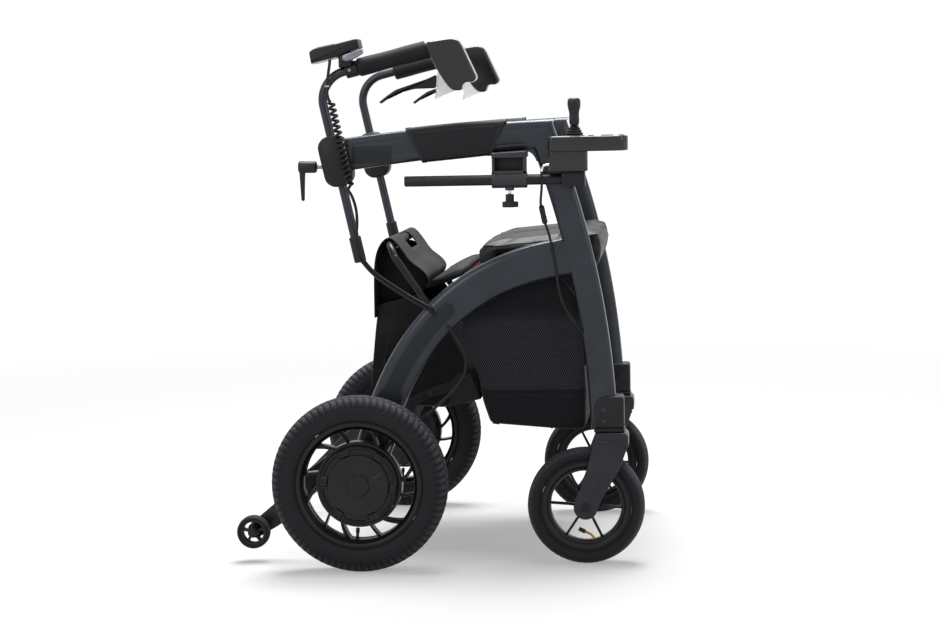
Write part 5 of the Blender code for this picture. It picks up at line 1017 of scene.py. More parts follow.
knob = [
    lobed(0.0130, [(0.80, 0.6194), (0.93, 0.6197), (1.0, 0.6206), (1.0, 0.6280), (0.95, 0.6290), (0.70, 0.6293)], 0.11),
    turned([(0.0073, 0.6290), (0.0073, 0.6405), (0.0066, 0.6416), (0.0032, 0.6418)], (KNOB_X, ROD_Y, 0), "Z", 32),
]
piece("star_knob_moulded", knob, BLACK_NYLON, "rod_clamp_knob", "star_knob")
piece("star_knob_thread", [bar((KNOB_X, ROD_Y, 0.6400), (KNOB_X, ROD_Y, 0.6560), 0.0029)], CHROME, "rod_clamp_knob", slot="black_alloy")
print("controls done")


# %% [markdown]
# Folding cross, hoops and the battery pack. Each strut is a flat bar that runs from a pivot at one side
# up to the seat rail at the other; the second is the mirror image of the first, a strut's width ahead.


# %% Cross, hoops and battery pack
PIVOT_Y, PIVOT_Z, HINGE_Z, CROSS_X = 0.163, 0.367, 0.527, 0.255
STRUT_WIDE, STRUT_GAP, STRUT_HALF, PIN = 0.018, 0.004, 0.009, 0.006


def strut(low, high, pin_head, pin_end):
    """From the left pivot up to the right-hand seat rail; the caller mirrors it."""
    foot, top = np.array([PIVOT_Y, PIVOT_Z]), np.array([-PIVOT_Y, HINGE_Z])
    way = (top - foot) / np.linalg.norm(top - foot)
    side = np.array([-way[1], way[0]]) * STRUT_HALF
    inside = (low + high) / 2
    return [
        slab([foot - side, top - side, top + side, foot + side], low, high, "X", 0.003, 0.0022),
        bar((low + 0.0005, *foot), (high - 0.0005, *foot), STRUT_HALF + 0.0015, 36, 0.0012),
        bar((0.2175, *top), (0.402, *top), 0.009, 36, 0.0012),
        bar((inside, *foot), ((pin_head + pin_end) / 2, *foot), PIN, 24),
        bar((pin_head, *foot), (pin_end, *foot), 0.0095, 24, 0.001),
    ]


a_low, b_low = CROSS_X - STRUT_GAP / 2 - STRUT_WIDE, CROSS_X + STRUT_GAP / 2
a_high, b_high = a_low + STRUT_WIDE, b_low + STRUT_WIDE
middle = (0.0, (PIVOT_Z + HINGE_Z) / 2)
frame_a = strut(a_low, a_high, EARS["right"][1] + GAP, EARS["right"][1] + 0.003)
frame_b = strut(b_low, b_high, EARS["left"][0] - GAP, EARS["left"][0] - 0.003)
frame_b += [
    bar((b_low + 0.009, *middle), (a_low - 0.002, *middle), PIN, 24),
    bar((a_low - GAP, *middle), (a_low - 0.0036, *middle), 0.0095, 24, 0.001),
]
piece("cross_strut_a", frame_a, BLACK_ALLOY, "cross_a", "cross_frame_a", -1)
piece("cross_strut_b", frame_b, BLACK_ALLOY, "cross_b", "cross_frame_b")

HOOP = [
    (0.1290, 0.2157, 0.4240), (0.1290, 0.2070, 0.4240), (0.1260, 0.2010, 0.4285), (0.1180, 0.1985, 0.4395), (0.0625, 0.1900, 0.5190),
    (0.0530, 0.1860, 0.5330), (0.0465, 0.1770, 0.5455), (0.0420, 0.1640, 0.5515), (0.0410, 0.1500, 0.5528), (0.0410, 0.1180, 0.5528),
]
for name, side in SIDES:
    piece("back_hoop_rod_" + name, [skin(carried(route(HOOP, 0.003), round_section(0.006, 24)))], BLACK_ALLOY, name + "_frame", "back_hoop_" + name, side)

pack = [slab([(0.050, 0.2702), (0.140, 0.2702), (0.140, 0.3880), (0.050, 0.3880)], -0.135, 0.030, "Y", 0.008, 0.004)]
piece("battery_pack_case", pack, BLACK_NYLON, "right_frame", "battery_pack")
label = [slab([(-0.115, 0.300), (0.010, 0.300), (0.010, 0.360), (-0.115, 0.360)], 0.1399, 0.1404, "X", 0.004, 0.0002)]
piece("battery_pack_plate", label, GREY_NYLON, "right_frame", slot="black_plastic")
print("cross, hoops and battery pack done")

# %% [markdown]
# Fabrics. A weave is two families of sine waves in object space, steered so that neither family lies
# along a wall of the bags. Coated nylon keeps a dull shine; the sleeves are matt.


# %% Fabrics
def weave(tree, spot, pitch_mm):
    """Over and under: the product of two sine waves, from 0 to 1."""
    waves = []
    for steer in ((1.0, 1.0, 0.0), (0.5, -0.5, 1.0)):
        scaled = tuple(2 * math.pi * 1000.0 / pitch_mm * s for s in steer)
        turn = add(tree, "VectorMath", {"operation": "DOT_PRODUCT"}, _0=spot, _1=scaled).outputs["Value"]
        waves.append(add(tree, "Math", {"operation": "SINE"}, _0=turn).outputs[0])
    over = add(tree, "Math", {"operation": "MULTIPLY"}, _0=waves[0], _1=waves[1]).outputs[0]
    return add(tree, "MapRange", Value=over, From_Min=-1.0, From_Max=1.0).outputs["Result"]


def cloth(name, light_code, dark_code, rough, pitch_mm, deep_mm, specular=0.3, sheen=0.0):
    """Woven cloth: faded patches a few centimetres wide, darker between the threads, threads in relief."""
    made, tree, shader = finish(name, light_code, rough, Specular_IOR_Level=specular, Sheen_Weight=sheen, Sheen_Roughness=0.5)
    spot = place_of(tree)
    threads = weave(tree, spot, pitch_mm)
    broad = add(tree, "Math", {"operation": "MULTIPLY"}, _0=grain(tree, spot, 45.0, 3.0), _1=0.6).outputs[0]
    mixed = add(tree, "Math", {"operation": "MULTIPLY_ADD"}, _0=threads, _1=0.4, _2=broad).outputs[0]
    tree.links.new(ramp(tree, mixed, dark_code, light_code, 0.2, 0.75), shader.inputs["Base Color"])
    raise_bump(tree, shader, threads, deep_mm)
    return made


SEAT_CLOTH = cloth("coated_seat_nylon", "121116", "0c0b0f", 0.46, 1.4, 0.10)
BAG_CLOTH = cloth("black_oxford_nylon", "101013", "09090b", 0.62, 1.6, 0.12, 0.2)
FLAP_CLOTH = cloth("flap_webbing_nylon", "17171c", "101014", 0.60, 1.8, 0.14, 0.2)
SLEEVE_CLOTH = cloth("sleeve_neoprene", "1b1a1e", "131216", 0.60, 1.2, 0.08, 0.25)
BINDING = cloth("binding_tape", "2c2d31", "222327", 0.60, 1.2, 0.12, 0.25)
PIPING = cloth("piping_cord", "121115", "0c0b0e", 0.55, 1.0, 0.10, 0.3)
RED_STRAP = cloth("red_webbing", "b5202c", "8a1520", 0.60, 1.4, 0.12, 0.2)
THREAD = cloth("sewing_thread", "3d3d40", "2c2c2f", 0.60, 0.8, 0.06, 0.2)
print("fabrics done")

# %% [markdown]
# Seat. Each pad starts as rings across the chair, with room left underneath for the seat rail and for
# the strut that swings through it. Cloth simulation then blows it up a little: its underside and its
# inner face are held, so it swells on top and at the outer side, and the piping is laid on the result.


# %% Seat pads
PAD_HALF, PAD_ROUND, PAD_FLOOR = 0.194, 0.007, 0.513
PAD_LINE = np.array([  # x, underside, top
    (0.2010, 0.5240, 0.5440), (0.2060, 0.5165, 0.5520), (0.2151, PAD_FLOOR, 0.5560), (0.2290, PAD_FLOOR, 0.5573),
    (0.2295, 0.5385, 0.5573), (0.2805, 0.5385, 0.5618), (0.2810, PAD_FLOOR, 0.5618), (0.3350, PAD_FLOOR, 0.5668),
    (0.3520, 0.4985, 0.5683), (0.3960, 0.4968, 0.5723), (0.4060, 0.5120, 0.5735), (0.4110, 0.5205, 0.5690),
    (0.4149, 0.5380, 0.5560),
])
SETBACK = np.array([
    (-0.032, 0.0304), (-0.020, 0.0200), (-0.014, 0.0160), (0.0, 0.0090), (0.010, 0.0054), (0.020, 0.0028), (0.030, 0.0013),
])
SLIM = 0.0022  # the pad starts this much inside its finished size, and swells to it


def pad_ring(x, low, high):
    """Across the chair at one x: inner face, crowned top, rounded shoulder, outer face, and the underside
    with a notch over the seat rail."""
    low, high = low + 0.0004, high - SLIM
    inner_z = np.linspace(low, high - 0.004, 6)
    inner = np.stack([np.interp(inner_z - HINGE_Z, *SETBACK.T) + 0.0006, inner_z], -1)
    round_by = min(PAD_ROUND, 0.6 * (high - low))
    y = np.linspace(0.004, PAD_HALF - SLIM - round_by, 12)
    top = np.stack([y, np.full(12, high) - 0.0012 * np.cos(np.linspace(0, math.pi, 12)) ** 8], -1)
    turn = np.radians(np.linspace(80, 10, 7))
    shoulder = np.stack([PAD_HALF - SLIM - round_by * (1 - np.cos(turn)), high - round_by * (1 - np.sin(turn))], -1)
    outer_z = np.linspace(high - round_by, low + 0.002, 4)
    outer = np.stack([np.full(4, PAD_HALF - SLIM), outer_z], -1)
    roof = max(low, min(0.5395, high - 0.006)) if 0.2155 < x < 0.4045 else low
    under = np.array([(PAD_HALF - SLIM - 0.004, low), (0.1755, low), (0.1750, roof), (0.1510, roof), (0.1505, low)])
    flat = np.vstack([inner, top, shoulder, outer, under])
    return stood(flat, x, "X")


def pad_shell():
    x = np.unique(np.r_[PAD_LINE[:, 0], np.linspace(0.203, 0.413, 40)])
    x[0], x[-1] = x[0] + 0.0010, x[-1] - SLIM / 2
    low, high = (np.interp(x, PAD_LINE[:, 0], PAD_LINE[:, k]) for k in (1, 2))
    return skin(np.stack([pad_ring(*row) for row in zip(x, low, high)]))


def swollen(points, faces, voxel, pressure, cap, held):
    """Cloth simulation of a closed shell: remeshed evenly, blown up from inside with gravity off, moved
    by at most cap; held gives each point's share of pinning."""
    mesh = bpy.data.meshes.new("swelling")
    mesh.from_pydata(np.asarray(points).tolist(), [], faces)
    work = bpy.data.objects.new("swelling", mesh)
    COLLECTION.objects.link(work)
    remesh = work.modifiers.new("even", "REMESH")
    remesh.mode, remesh.voxel_size = "VOXEL", voxel
    even = bpy.data.meshes.new_from_object(work.evaluated_get(bpy.context.evaluated_depsgraph_get()))
    work.modifiers.clear()
    work.data = even
    start = np.empty(len(even.vertices) * 3)
    even.vertices.foreach_get("co", start)
    start = start.reshape(-1, 3)
    end = start
    group = work.vertex_groups.new(name="held")
    for i, share in enumerate(held(start)):
        group.add([i], float(share), "REPLACE")
    settings = work.modifiers.new("cloth", "CLOTH").settings
    settings.use_pressure, settings.uniform_pressure_force = True, pressure
    settings.vertex_group_mass = "held"
    settings.effector_weights.gravity = 0.0
    for moment in range(1, 21):
        bpy.context.scene.frame_set(moment)
    blown = work.evaluated_get(bpy.context.evaluated_depsgraph_get()).to_mesh()
    end = np.empty(len(even.vertices) * 3)
    blown.vertices.foreach_get("co", end)
    move = end.reshape(-1, 3) - start
    far = np.linalg.norm(move, axis=1, keepdims=True)
    end = start + move * np.minimum(1.0, cap / np.maximum(far, 1e-9))
    bpy.context.scene.frame_set(1)
    polygons = [list(p.vertices) for p in even.polygons]
    bpy.data.objects.remove(work)
    return end, polygons


def pad_held(at):
    """1 below the cushion, at the hinge side and near the notch; 0 on top and at the outer face."""
    low = 1 - eased(0.528, 0.545, at[:, 2])
    inner = 1 - eased(0.004, 0.030, at[:, 1])
    return np.maximum(low, inner)


def laid_on(tree, path, sink):
    """Each point of a path moved onto the nearest place of a surface, then lifted out by -sink."""
    out = []
    for point in path:
        place, normal, _, _ = tree.find_nearest(Vector(point))
        out.append(np.array(place) - np.array(normal) * sink)
    return np.array(out)


def smooth_loop(points, times):
    for _ in range(times):
        points = 0.5 * points + 0.25 * (np.roll(points, 1, axis=0) + np.roll(points, -1, axis=0))
    return points


PAD = swollen(*pad_shell(), 0.004, 4.0, 0.005, pad_held)
PAD_TREE = BVHTree.FromPolygons(PAD[0].tolist(), PAD[1])
rim = softened([(0.2075, 0.008), (0.2075, 0.1925), (0.4110, 0.1925), (0.4110, 0.008)], 0.012, 6)
rim = np.vstack([np.linspace(a, b, max(2, round(np.linalg.norm(b - a) / 0.004)))[:-1] for a, b in zip(rim, np.roll(rim, -1, axis=0)) if np.linalg.norm(b - a) > 1e-6])
rim = np.column_stack([rim, np.interp(rim[:, 0], PAD_LINE[:, 0], PAD_LINE[:, 2]) - 0.0035])
rim = smooth_loop(laid_on(PAD_TREE, rim, 0.0004), 3)
for name, side in SIDES:
    body = name + "_seat"
    cover = piece("seat_cushion_" + name, [PAD], SEAT_CLOTH, body, "seat_pad_" + name, side, sharp=180)
    finer = cover.modifiers.new("finer", "SUBSURF")
    finer.levels = finer.render_levels = 1
    piece("seat_piping_" + name, [skin(np.vstack([carried(np.vstack([rim, rim[:1]]), round_section(0.0016, 10))[:-1]]), loop=True)], PIPING, body, side=side, slot="seat_cover")

strap = route([(0.2050, 0, 0.5200), (0.1985, 0, 0.5175), (0.1925, 0, 0.5140), (0.1872, 0, 0.5096), (0.1895, 0, 0.5072), (0.1960, 0, 0.5096), (0.2020, 0, 0.5135), (0.2062, 0, 0.5178)], 0.002)
flat_web = softened([(0.009, -0.0006), (0.009, 0.0006), (-0.009, 0.0006), (-0.009, -0.0006)], 0.0004, 2)
piece("seat_pull_strap", [skin(carried(strap + (0, 0.150, 0), flat_web, (0, 1, 0)))], RED_STRAP, "right_seat", side=-1, slot="seat_cover")
print("seat pads:", len(PAD[0]), "points each")

# %% [markdown]
# Armrest sleeves: a padded tube round each arm, quilted between its two long seams, its slanted ends
# bound with tape.


# %% Armrest sleeves
SLEEVE_TOP, SLEEVE_LOW = np.array([(0.085, 0.7560), (0.258, 0.7690)]), np.array([(0.113, 0.6975), (0.2295, 0.7060)])


def sleeve_grid(grow_at, start, end, count):
    """Sections of the arm from one slanted end (share 0) to the other (share 1), grown by grow_at."""
    rows = []
    for share in np.linspace(start, end, count):
        upper, lower = (ends[0] + (ends[1] - ends[0]) * share for ends in (SLEEVE_TOP, SLEEVE_LOW))
        x = (upper[0] + lower[0]) / 2
        ring = arm_grid(np.array([x, x + 0.001]), grow_at(share))[0]
        normal = (upper[1] - lower[1], 0.0, lower[0] - upper[0])
        rows.append(onto(ring, (1.0, 0.0, -0.288 * (x - 0.439)), (upper[0], 0.0, upper[1]), normal))
    return np.stack(rows)


def puff(share):
    """Thickness over the tube: full in the middle, pulled in at both bindings."""
    return 0.0030 + 0.0012 * math.sin(math.pi * share) ** 0.35


def band(start, end, grow, count=6):
    outer = sleeve_grid(lambda share: grow, start, end, count)
    return skin(np.concatenate([outer, sleeve_grid(lambda share: GAP, start, end, 3)[::-1]]), loop=True)


sleeve = skin(np.concatenate([sleeve_grid(puff, 0.0, 1.0, 40), sleeve_grid(lambda share: GAP, 0.0, 1.0, 12)[::-1]]), loop=True)
for name, side in SIDES:
    body = name + "_frame"
    piece("armrest_wrap_" + name, [sleeve], SLEEVE_CLOTH, body, "armrest_sleeve_" + name, side, sharp=50)
    piece("sleeve_binding_" + name, [band(-0.001, 0.045, 0.0044), band(0.955, 1.001, 0.0044)], BINDING, body, side=side, slot="bag_fabric")
    seams = []
    for share_up in (0.86, 0.10):
        line = [row[np.argmin(np.abs(row[:, 2] - (row[:, 2].min() + share_up * np.ptp(row[:, 2]))) + 10 * (row[:, 1] < FRAME_Y + 0.016))] for row in sleeve_grid(puff, 0.05, 0.95, 24)]
        seams.append(skin(carried(np.array(line) + (0, -0.0002, 0), round_section(0.0007, 8))))
    piece("sleeve_seams_" + name, seams, THREAD, body, side=side, slot="bag_fabric")
print("sleeves done")


# %% [markdown]
# Back flap. One sheet of cloth follows a profile over both hoops and down their front, with a hand slot
# and rounded lower corners; the padded roll is sewn along its lower edge.


# %% Back flap
FLAP_HALF, FLAP_KEEP = 0.160, 0.494
FLAP_LINE = evened([(x, z, 0) for x, z in (
    (0.0122, 0.4230), (0.0128, 0.4800), (0.0143, 0.5145), (0.0191, 0.5390), (0.0285, 0.5562), (0.0390, 0.5630),
    (0.0488, 0.5590), (0.0622, 0.5425), (0.0762, 0.5222), (0.0962, 0.5052), (0.1050, 0.4925), (0.1035, 0.4812),
)], 76)[:, :2]
FLAP_FAR = np.r_[0, np.cumsum(np.linalg.norm(np.diff(FLAP_LINE, axis=0), axis=1))]
SLOT_FROM, SLOT_TO, SLOT_REACH = 0.1545, 0.1865, 0.055


def flap_point(far, y):
    """A place on the flap: far along its profile from the rear hem, y across the chair."""
    line = np.stack([np.interp(far, FLAP_FAR, FLAP_LINE[:, k]) for k in (0, 1)], -1)
    way = np.stack([np.interp(far + 0.004, FLAP_FAR, FLAP_LINE[:, k]) - np.interp(far - 0.004, FLAP_FAR, FLAP_LINE[:, k]) for k in (0, 1)], -1)
    way /= np.linalg.norm(way, axis=-1, keepdims=True)
    free = eased(0.185, 0.235, far)  # waves only where the cloth hangs free of the hoops
    wave = 0.0016 * np.sin(34 * y + 1.1) * free + 0.0010 * np.sin(58 * y) * eased(0.11, 0.0, far)
    x, z = line[..., 0] - wave * way[..., 1], line[..., 1] + wave * way[..., 0]
    return np.stack([x, np.broadcast_to(y, x.shape), z], -1)


def slot_push(far, y):
    """Moves points near the hand slot onto its rim, a rectangle with half-round ends."""
    half, middle = (SLOT_TO - SLOT_FROM) / 2, (SLOT_TO + SLOT_FROM) / 2
    core = np.clip(y, -(SLOT_REACH - half), SLOT_REACH - half)
    away = np.stack([far - middle, y - core], -1)
    length = np.maximum(np.linalg.norm(away, axis=-1), 1e-6)
    near = np.abs(length - half) < 0.0021
    share = np.where(near, half / length, 1.0)
    return middle + away[..., 0] * share, core + away[..., 1] * share, (length < half - 0.0021) | (near & (length < half))


def flap_sheet():
    far = np.linspace(0, FLAP_FAR[-1], 76)
    rows = []
    for f in far:
        bend = 0.024  # radius of the rounded lower corners
        left = max(0.0, bend - (FLAP_FAR[-1] - f))
        reach = FLAP_HALF - bend + math.sqrt(bend**2 - left**2)
        rows.append(np.stack([np.full(81, f), np.linspace(-reach, reach, 81)], -1))
    flat = np.stack(rows)
    f, y, hole_and_highlight = slot_push(flat[..., 0], flat[..., 1])
    points, faces = skin(flap_point(f, y), around=False)
    gone = hole_and_highlight.ravel()
    return points, [face for face in faces if not any(gone[i] for i in face)]


def draped(name, points, faces, material, body, thick, **more):
    """An open sheet given its thickness, centred on the sheet."""
    made = piece(name, [(points, faces)], material, body, **more)
    wall = made.modifiers.new("thickness", "SOLIDIFY")
    wall.thickness, wall.offset = thick, 0.0
    return made


flap = draped("back_flap_cloth", *flap_sheet(), FLAP_CLOTH, "right_frame", 0.0022, stands_for="back_flap", sharp=60)

hem = [flap_point(np.linspace(0.004, FLAP_FAR[-1] - 0.030, 60), np.full(60, y)) for y in (-0.1545, 0.1545)]
hem += [flap_point(np.full(60, f), np.linspace(-0.150, 0.150, 60)) for f in (0.006,)]
turn = np.linspace(0, 2 * math.pi, 60)
core = np.where(np.cos(turn) > 0, 1, -1) * (SLOT_REACH - 0.016)
rim = flap_point((SLOT_FROM + SLOT_TO) / 2 + 0.0195 * np.sin(turn), core + 0.0195 * np.cos(turn))


def sewn(path, radius=0.0006):
    """A line of thread that follows a path on the cloth."""
    return skin(carried(path, round_section(radius, 6)))


piece("back_flap_stitching", [sewn(p, 0.0014) for p in [*hem, rim]], THREAD, "right_frame", slot="bag_fabric")

ROLL_LINE = [(0.1010, 0.4765), (0.1180, 0.4835), (0.1428, 0.4935), (0.1600, 0.5010), (0.1735, 0.5085)]
roll_ring = softened([
    (0.0995, 0.4765), (0.1180, 0.4915), (0.1400, 0.5040), (0.1600, 0.5125), (0.1740, 0.5135), (0.1790, 0.5070), (0.1695, 0.4950),
    (0.1428, 0.4840), (0.1180, 0.4750), (0.1040, 0.4715),
], 0.02, 5)
roll_middle = roll_ring.mean(axis=0)
roll_rows = []
for y in np.r_[np.linspace(-0.164, -0.150, 9), np.linspace(-0.146, 0.146, 60), np.linspace(0.150, 0.164, 9)]:
    ends = min(1.0, (0.1645 - abs(y)) / 0.016)
    full = math.sqrt(max(0.02, 1 - (1 - ends) ** 2)) * (0.965 + 0.012 * math.cos(26 * y) + 0.008 * math.cos(61 * y + 1))
    roll_rows.append(stood(roll_middle + (roll_ring - roll_middle) * (0.55 + 0.45 * full, full), y, "Y"))
roll = piece("back_roll_cushion", [skin(np.stack(roll_rows))], FLAP_CLOTH, "right_frame", slot="bag_fabric", sharp=180)
# Two black walls close the inside of the flap's loop; their black is painted shade for the dark inside of that loop.
FLAP_SHADE_WALL = [
    (0.0165, 0.4480), (0.0172, 0.5140), (0.0215, 0.5340), (0.0300, 0.5430), (0.0470, 0.5435), (0.0590, 0.5370), (0.0735, 0.5190),
    (0.0930, 0.5020), (0.0995, 0.4900), (0.0980, 0.4790), (0.0940, 0.4640), (0.0280, 0.4470),
]
walls = [slab(FLAP_SHADE_WALL, y - 0.0006, y + 0.0006, "Y", 0.004, 0.0003) for y in (-0.110, 0.110)]
along = np.linspace(-0.112, 0.112, 90)
puckered = 0.0084 + 0.0003 * np.sin(410 * along) + 0.0002 * np.sin(173 * along + 1)
sleeve_wall = [(0.0068, -0.112), *zip(puckered, along), (0.0068, 0.112)]
piece("back_flap_hand_roll", [turned(sleeve_wall, (0.0410, 0.0, 0.5528), "Y", 32, closed=True)], SLEEVE_CLOTH, "right_frame", slot="bag_fabric")
# Painted shade: black walls inside the flap's loop.
piece("back_flap_shade_walls", walls, BAG_CLOTH, "right_frame", slot="bag_fabric")
for made in ("back_flap_cloth", "back_flap_stitching", "back_flap_shade_walls", "back_flap_hand_roll", "back_roll_cushion"):
    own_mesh(bpy.data.objects[made])
print("flap: %.0f x %.0f mm flat" % (2000 * FLAP_HALF, 1000 * FLAP_FAR[-1]))

# %% [markdown]
# Bags. Each is a sack: a side outline shrinks to its middle on both sides and is carried across the
# chair in between, with rounded bottom corners, sagging walls and folds under the hem; the faces over
# its mouth are left out and the cloth gets its thickness last.


# %% Bags
def netting(name, thread_code, highlight_code, cloth_code, pitch_mm, low, high):
    """Knitted net: pale dots of painted highlight in staggered rows, each read from X and Z; below low and above
    high it is plain cloth."""
    made, tree, shader = finish(name, thread_code, 0.62, Specular_IOR_Level=0.12)
    spot = place_of(tree)
    k = 2 * math.pi * 1000.0 / pitch_mm
    waves = []
    for steer in ((k, 0.4 * k, 0.55 * k), (-k, -0.4 * k, 0.55 * k)):
        turn = add(tree, "VectorMath", {"operation": "DOT_PRODUCT"}, _0=spot, _1=steer).outputs["Value"]
        waves.append(add(tree, "Math", {"operation": "SINE"}, _0=turn).outputs[0])
    total = add(tree, "Math", {"operation": "ADD"}, _0=waves[0], _1=waves[1]).outputs[0]
    # Painted highlights: pale dots in staggered rows where the knit catches the light.
    hole_and_highlight = add(tree, "MapRange", {"interpolation_type": "SMOOTHSTEP"}, Value=total, From_Min=0.2, From_Max=1.2).outputs["Result"]
    height = add(tree, "SeparateXYZ", Vector=spot).outputs["Z"]
    above = add(tree, "MapRange", Value=height, From_Min=low - 0.0006, From_Max=low + 0.0006).outputs["Result"]
    below = add(tree, "MapRange", Value=height, From_Min=high + 0.016, From_Max=high - 0.016).outputs["Result"]
    zone = add(tree, "Math", {"operation": "MULTIPLY"}, _0=above, _1=below).outputs[0]
    open_and_highlight_here = add(tree, "Math", {"operation": "MULTIPLY"}, _0=hole_and_highlight, _1=zone).outputs[0]
    net = ramp(tree, open_and_highlight_here, thread_code, highlight_code)
    plain = ramp(tree, weave(tree, spot, 1.6), cloth_code, cloth_code)
    mixed = add(tree, "Mix", {"data_type": "RGBA"}, _0=zone, _6=plain, _7=net)
    tree.links.new(mixed.outputs[2], shader.inputs["Base Color"])
    fine = add(tree, "Math", {"operation": "MULTIPLY_ADD"}, _0=open_and_highlight_here, _1=-1.0, _2=weave(tree, spot, 1.2)).outputs[0]
    raise_bump(tree, shader, fine, 0.25)
    return made


# The second colour is the painted highlight of the net's dots.
NETTING = netting("shopping_net", "1b1b1f", "56575e", "1a1a1e", 3.6, 0.302, 0.432)


def sack(outline, half, rounding, count, mouth, shape, corner=0.012):
    """Points and faces of an open bag. rounding gives the radius of its bottom corners by height, mouth
    picks the outline's points with no wall between the two sides, shape moves the finished points."""
    flat = softened(outline, corner, 4)
    flat = evened(np.column_stack([np.vstack([flat, flat[:1]]), np.zeros(len(flat) + 1)]), count + 1)[:-1, :2]
    bend = rounding(flat[:, 1])[:, None]
    centre = (flat.min(axis=0) + flat.max(axis=0)) / 2
    tucked = inset(flat, bend)
    rows = [stood(centre + (tucked - centre) * f, -half, "Y") for f in (0.04, 0.16, 0.28, 0.40, 0.52, 0.64, 0.75, 0.84, 0.91, 0.96)]
    for angle in np.radians(np.linspace(0, 90, 7)):
        rows.append(stood(inset(flat, bend * (1 - math.sin(angle))), (-half + bend * (1 - math.cos(angle)))[:, 0], "Y"))
    first = len(rows) - 1
    share = np.linspace(0, 1, 15)[1:]
    rows += [stood(flat, (-half + bend[:, 0]) * (1 - t), "Y") for t in share]
    grid = np.stack(rows + [row * (1, -1, 1) for row in rows[-2::-1]])
    open_and_highlight_here = np.zeros(grid.shape[:2], bool)
    open_and_highlight_here[first : len(grid) - first] = mouth(flat)
    points, faces = skin(shape(grid, centre))
    gone = open_and_highlight_here.ravel()
    return points, [face for face in faces if not all(gone[i] for i in face)]


def rim_line(outline, half, tuck, count, corner=0.012):
    """The closed line where a sack's side meets its band, for piping."""
    flat = softened(outline, corner, 4)
    flat = evened(np.column_stack([np.vstack([flat, flat[:1]]), np.zeros(len(flat) + 1)]), count + 1)[:-1, :2]
    bend = tuck(flat[:, 1])[:, None]
    return stood(inset(flat, 0.293 * bend), (-half + 0.293 * bend)[:, 0], "Y")


NET_HALF, NET_KEEP = FRAME_Y - HALF - 0.0008, 0.6247
hem_line = []
for t, lap in ((0.62, 0.47), (0.66, 0.02), (0.78, 0.02), (0.86, 0.02), (0.93, 0.02), (0.965, 0.47), (0.98, 0.47)):
    before, here, after = arc_line([t - 0.001, t, t + 0.001])
    way = (after - before) / np.linalg.norm(after - before)
    hem_line.append(here + (1 - lap) * (0.058 + 0.007 * t) / 2 * np.array([way[1], -way[0]]))
NET_OUTLINE = np.vstack([[
    (0.3700, 0.4620), (0.3800, 0.3800), (0.3855, 0.3000), (0.3835, 0.2300), (0.3305, 0.2323), (0.2243, 0.2416), (0.2181, 0.2451),
    (0.2108, 0.2663), (0.2058, 0.2821), (0.2007, 0.3260), (0.1807, 0.3717), (0.1715, 0.4015), (0.1770, 0.4170),
], hem_line])


def net_bend(z):
    return 0.0008 + 0.0092 * eased(0.345, 0.300, z)


def net_shape(grid, centre):
    """Sides hollow a little below the hem, folds hang from it, and the floor sags."""
    x, y, z = grid[..., 0], grid[..., 1], grid[..., 2]
    side = np.sign(y) * (np.abs(y) > NET_HALF - 0.0009)
    inner = np.minimum(1, 22 * np.maximum(0, 0.115 - np.hypot((x - centre[0]) * 1.1, z - centre[1])))
    folds = 0.0016 * np.sin(230 * z + 9 * x) * eased(0.385, 0.440, z) * (1 - eased(0.462, 0.475, z))
    ripple = 0.0012 * np.sin(95 * x + 30 * z) * eased(0.300, 0.36, z)
    y = y - side * inner * (0.0045 + folds + ripple)
    middle = 1 - (y / NET_HALF) ** 2
    z = z - 0.006 * middle * eased(0.262, 0.245, z) + 0.0
    return np.stack([x, y, z], -1)


def net_mouth(flat):
    return flat[:, 1] > 0.335


net_points, net_faces = sack(NET_OUTLINE, NET_HALF, net_bend, 190, net_mouth, net_shape)
net = draped("shopping_bag", net_points, net_faces, NETTING, "right_frame", 0.0010, stands_for="mesh_bag", sharp=60)
rim = rim_line(NET_OUTLINE, NET_HALF - 0.0012, net_bend, 190)
parts = [skin(carried(np.vstack([side_rim, side_rim[:1]]), round_section(0.0012, 8))[:-1], loop=True) for side_rim in (rim, rim * (1, -1, 1))]
piping = piece("shopping_bag_piping", parts, PIPING, "right_frame", slot="bag_fabric")
marks = []
for x in np.linspace(0.226, 0.368, 26):
    marks.append(sewn(np.array([(x - 0.0019, -NET_HALF - 0.0001, 0.2905), (x, -NET_HALF - 0.0003, 0.2905), (x + 0.0019, -NET_HALF - 0.0001, 0.2905)]), 0.0005))
seam_x = np.linspace(0.212, 0.376, 40)
for z in (0.3015,):
    marks.append(sewn(np.stack([seam_x, np.full(40, -NET_HALF - 0.0002), np.full(40, z)], -1), 0.0007))
stitches = [piece("shopping_bag_stitching_" + name, marks, THREAD, "right_frame", side=-side, slot="bag_fabric") for name, side in SIDES]
for made in (net, piping, *stitches):
    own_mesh(made)

CASE_HALF, CASE_KEEP = 0.150, 0.604
CASE_OUTLINE = np.array([
    (-0.0015, 0.2740), (0.0162, 0.4380), (0.0210, 0.4450), (0.0960, 0.4640), (0.1020, 0.4600), (0.1182, 0.4381), (0.1816, 0.3238),
    (0.1990, 0.2755), (0.1304, 0.2603), (0.0625, 0.2638),
])


def case_bend(z):
    return 0.003 + 0.009 * eased(0.30, 0.27, z)


def case_shape(grid, centre):
    """Flat panels that the pack inside pushes out a little, with soft dents near the mouth."""
    x, y, z = grid[..., 0], grid[..., 1], grid[..., 2]
    side = np.sign(y) * (np.abs(y) > CASE_HALF - 0.0032)
    inner = np.minimum(1, 16 * np.maximum(0, 0.105 - np.hypot(x - centre[0], 0.9 * (z - centre[1]))))
    dents = 0.0022 * np.sin(60 * x - 25 * z) * eased(0.33, 0.42, z) + 0.0014 * np.sin(44 * z + 3 * x)
    return case_lean(np.stack([x, y - side * inner * (0.0020 + dents), z], -1))


def case_lean(points):
    """The sides lean inwards above the strap, which leaves the hoops room when the chair folds."""
    return points * np.stack([np.ones_like(points[..., 2]), 1 - 0.032 * eased(0.395, 0.430, points[..., 2]), np.ones_like(points[..., 2])], -1)


def case_mouth(flat):
    return flat[:, 1] > 0.4475


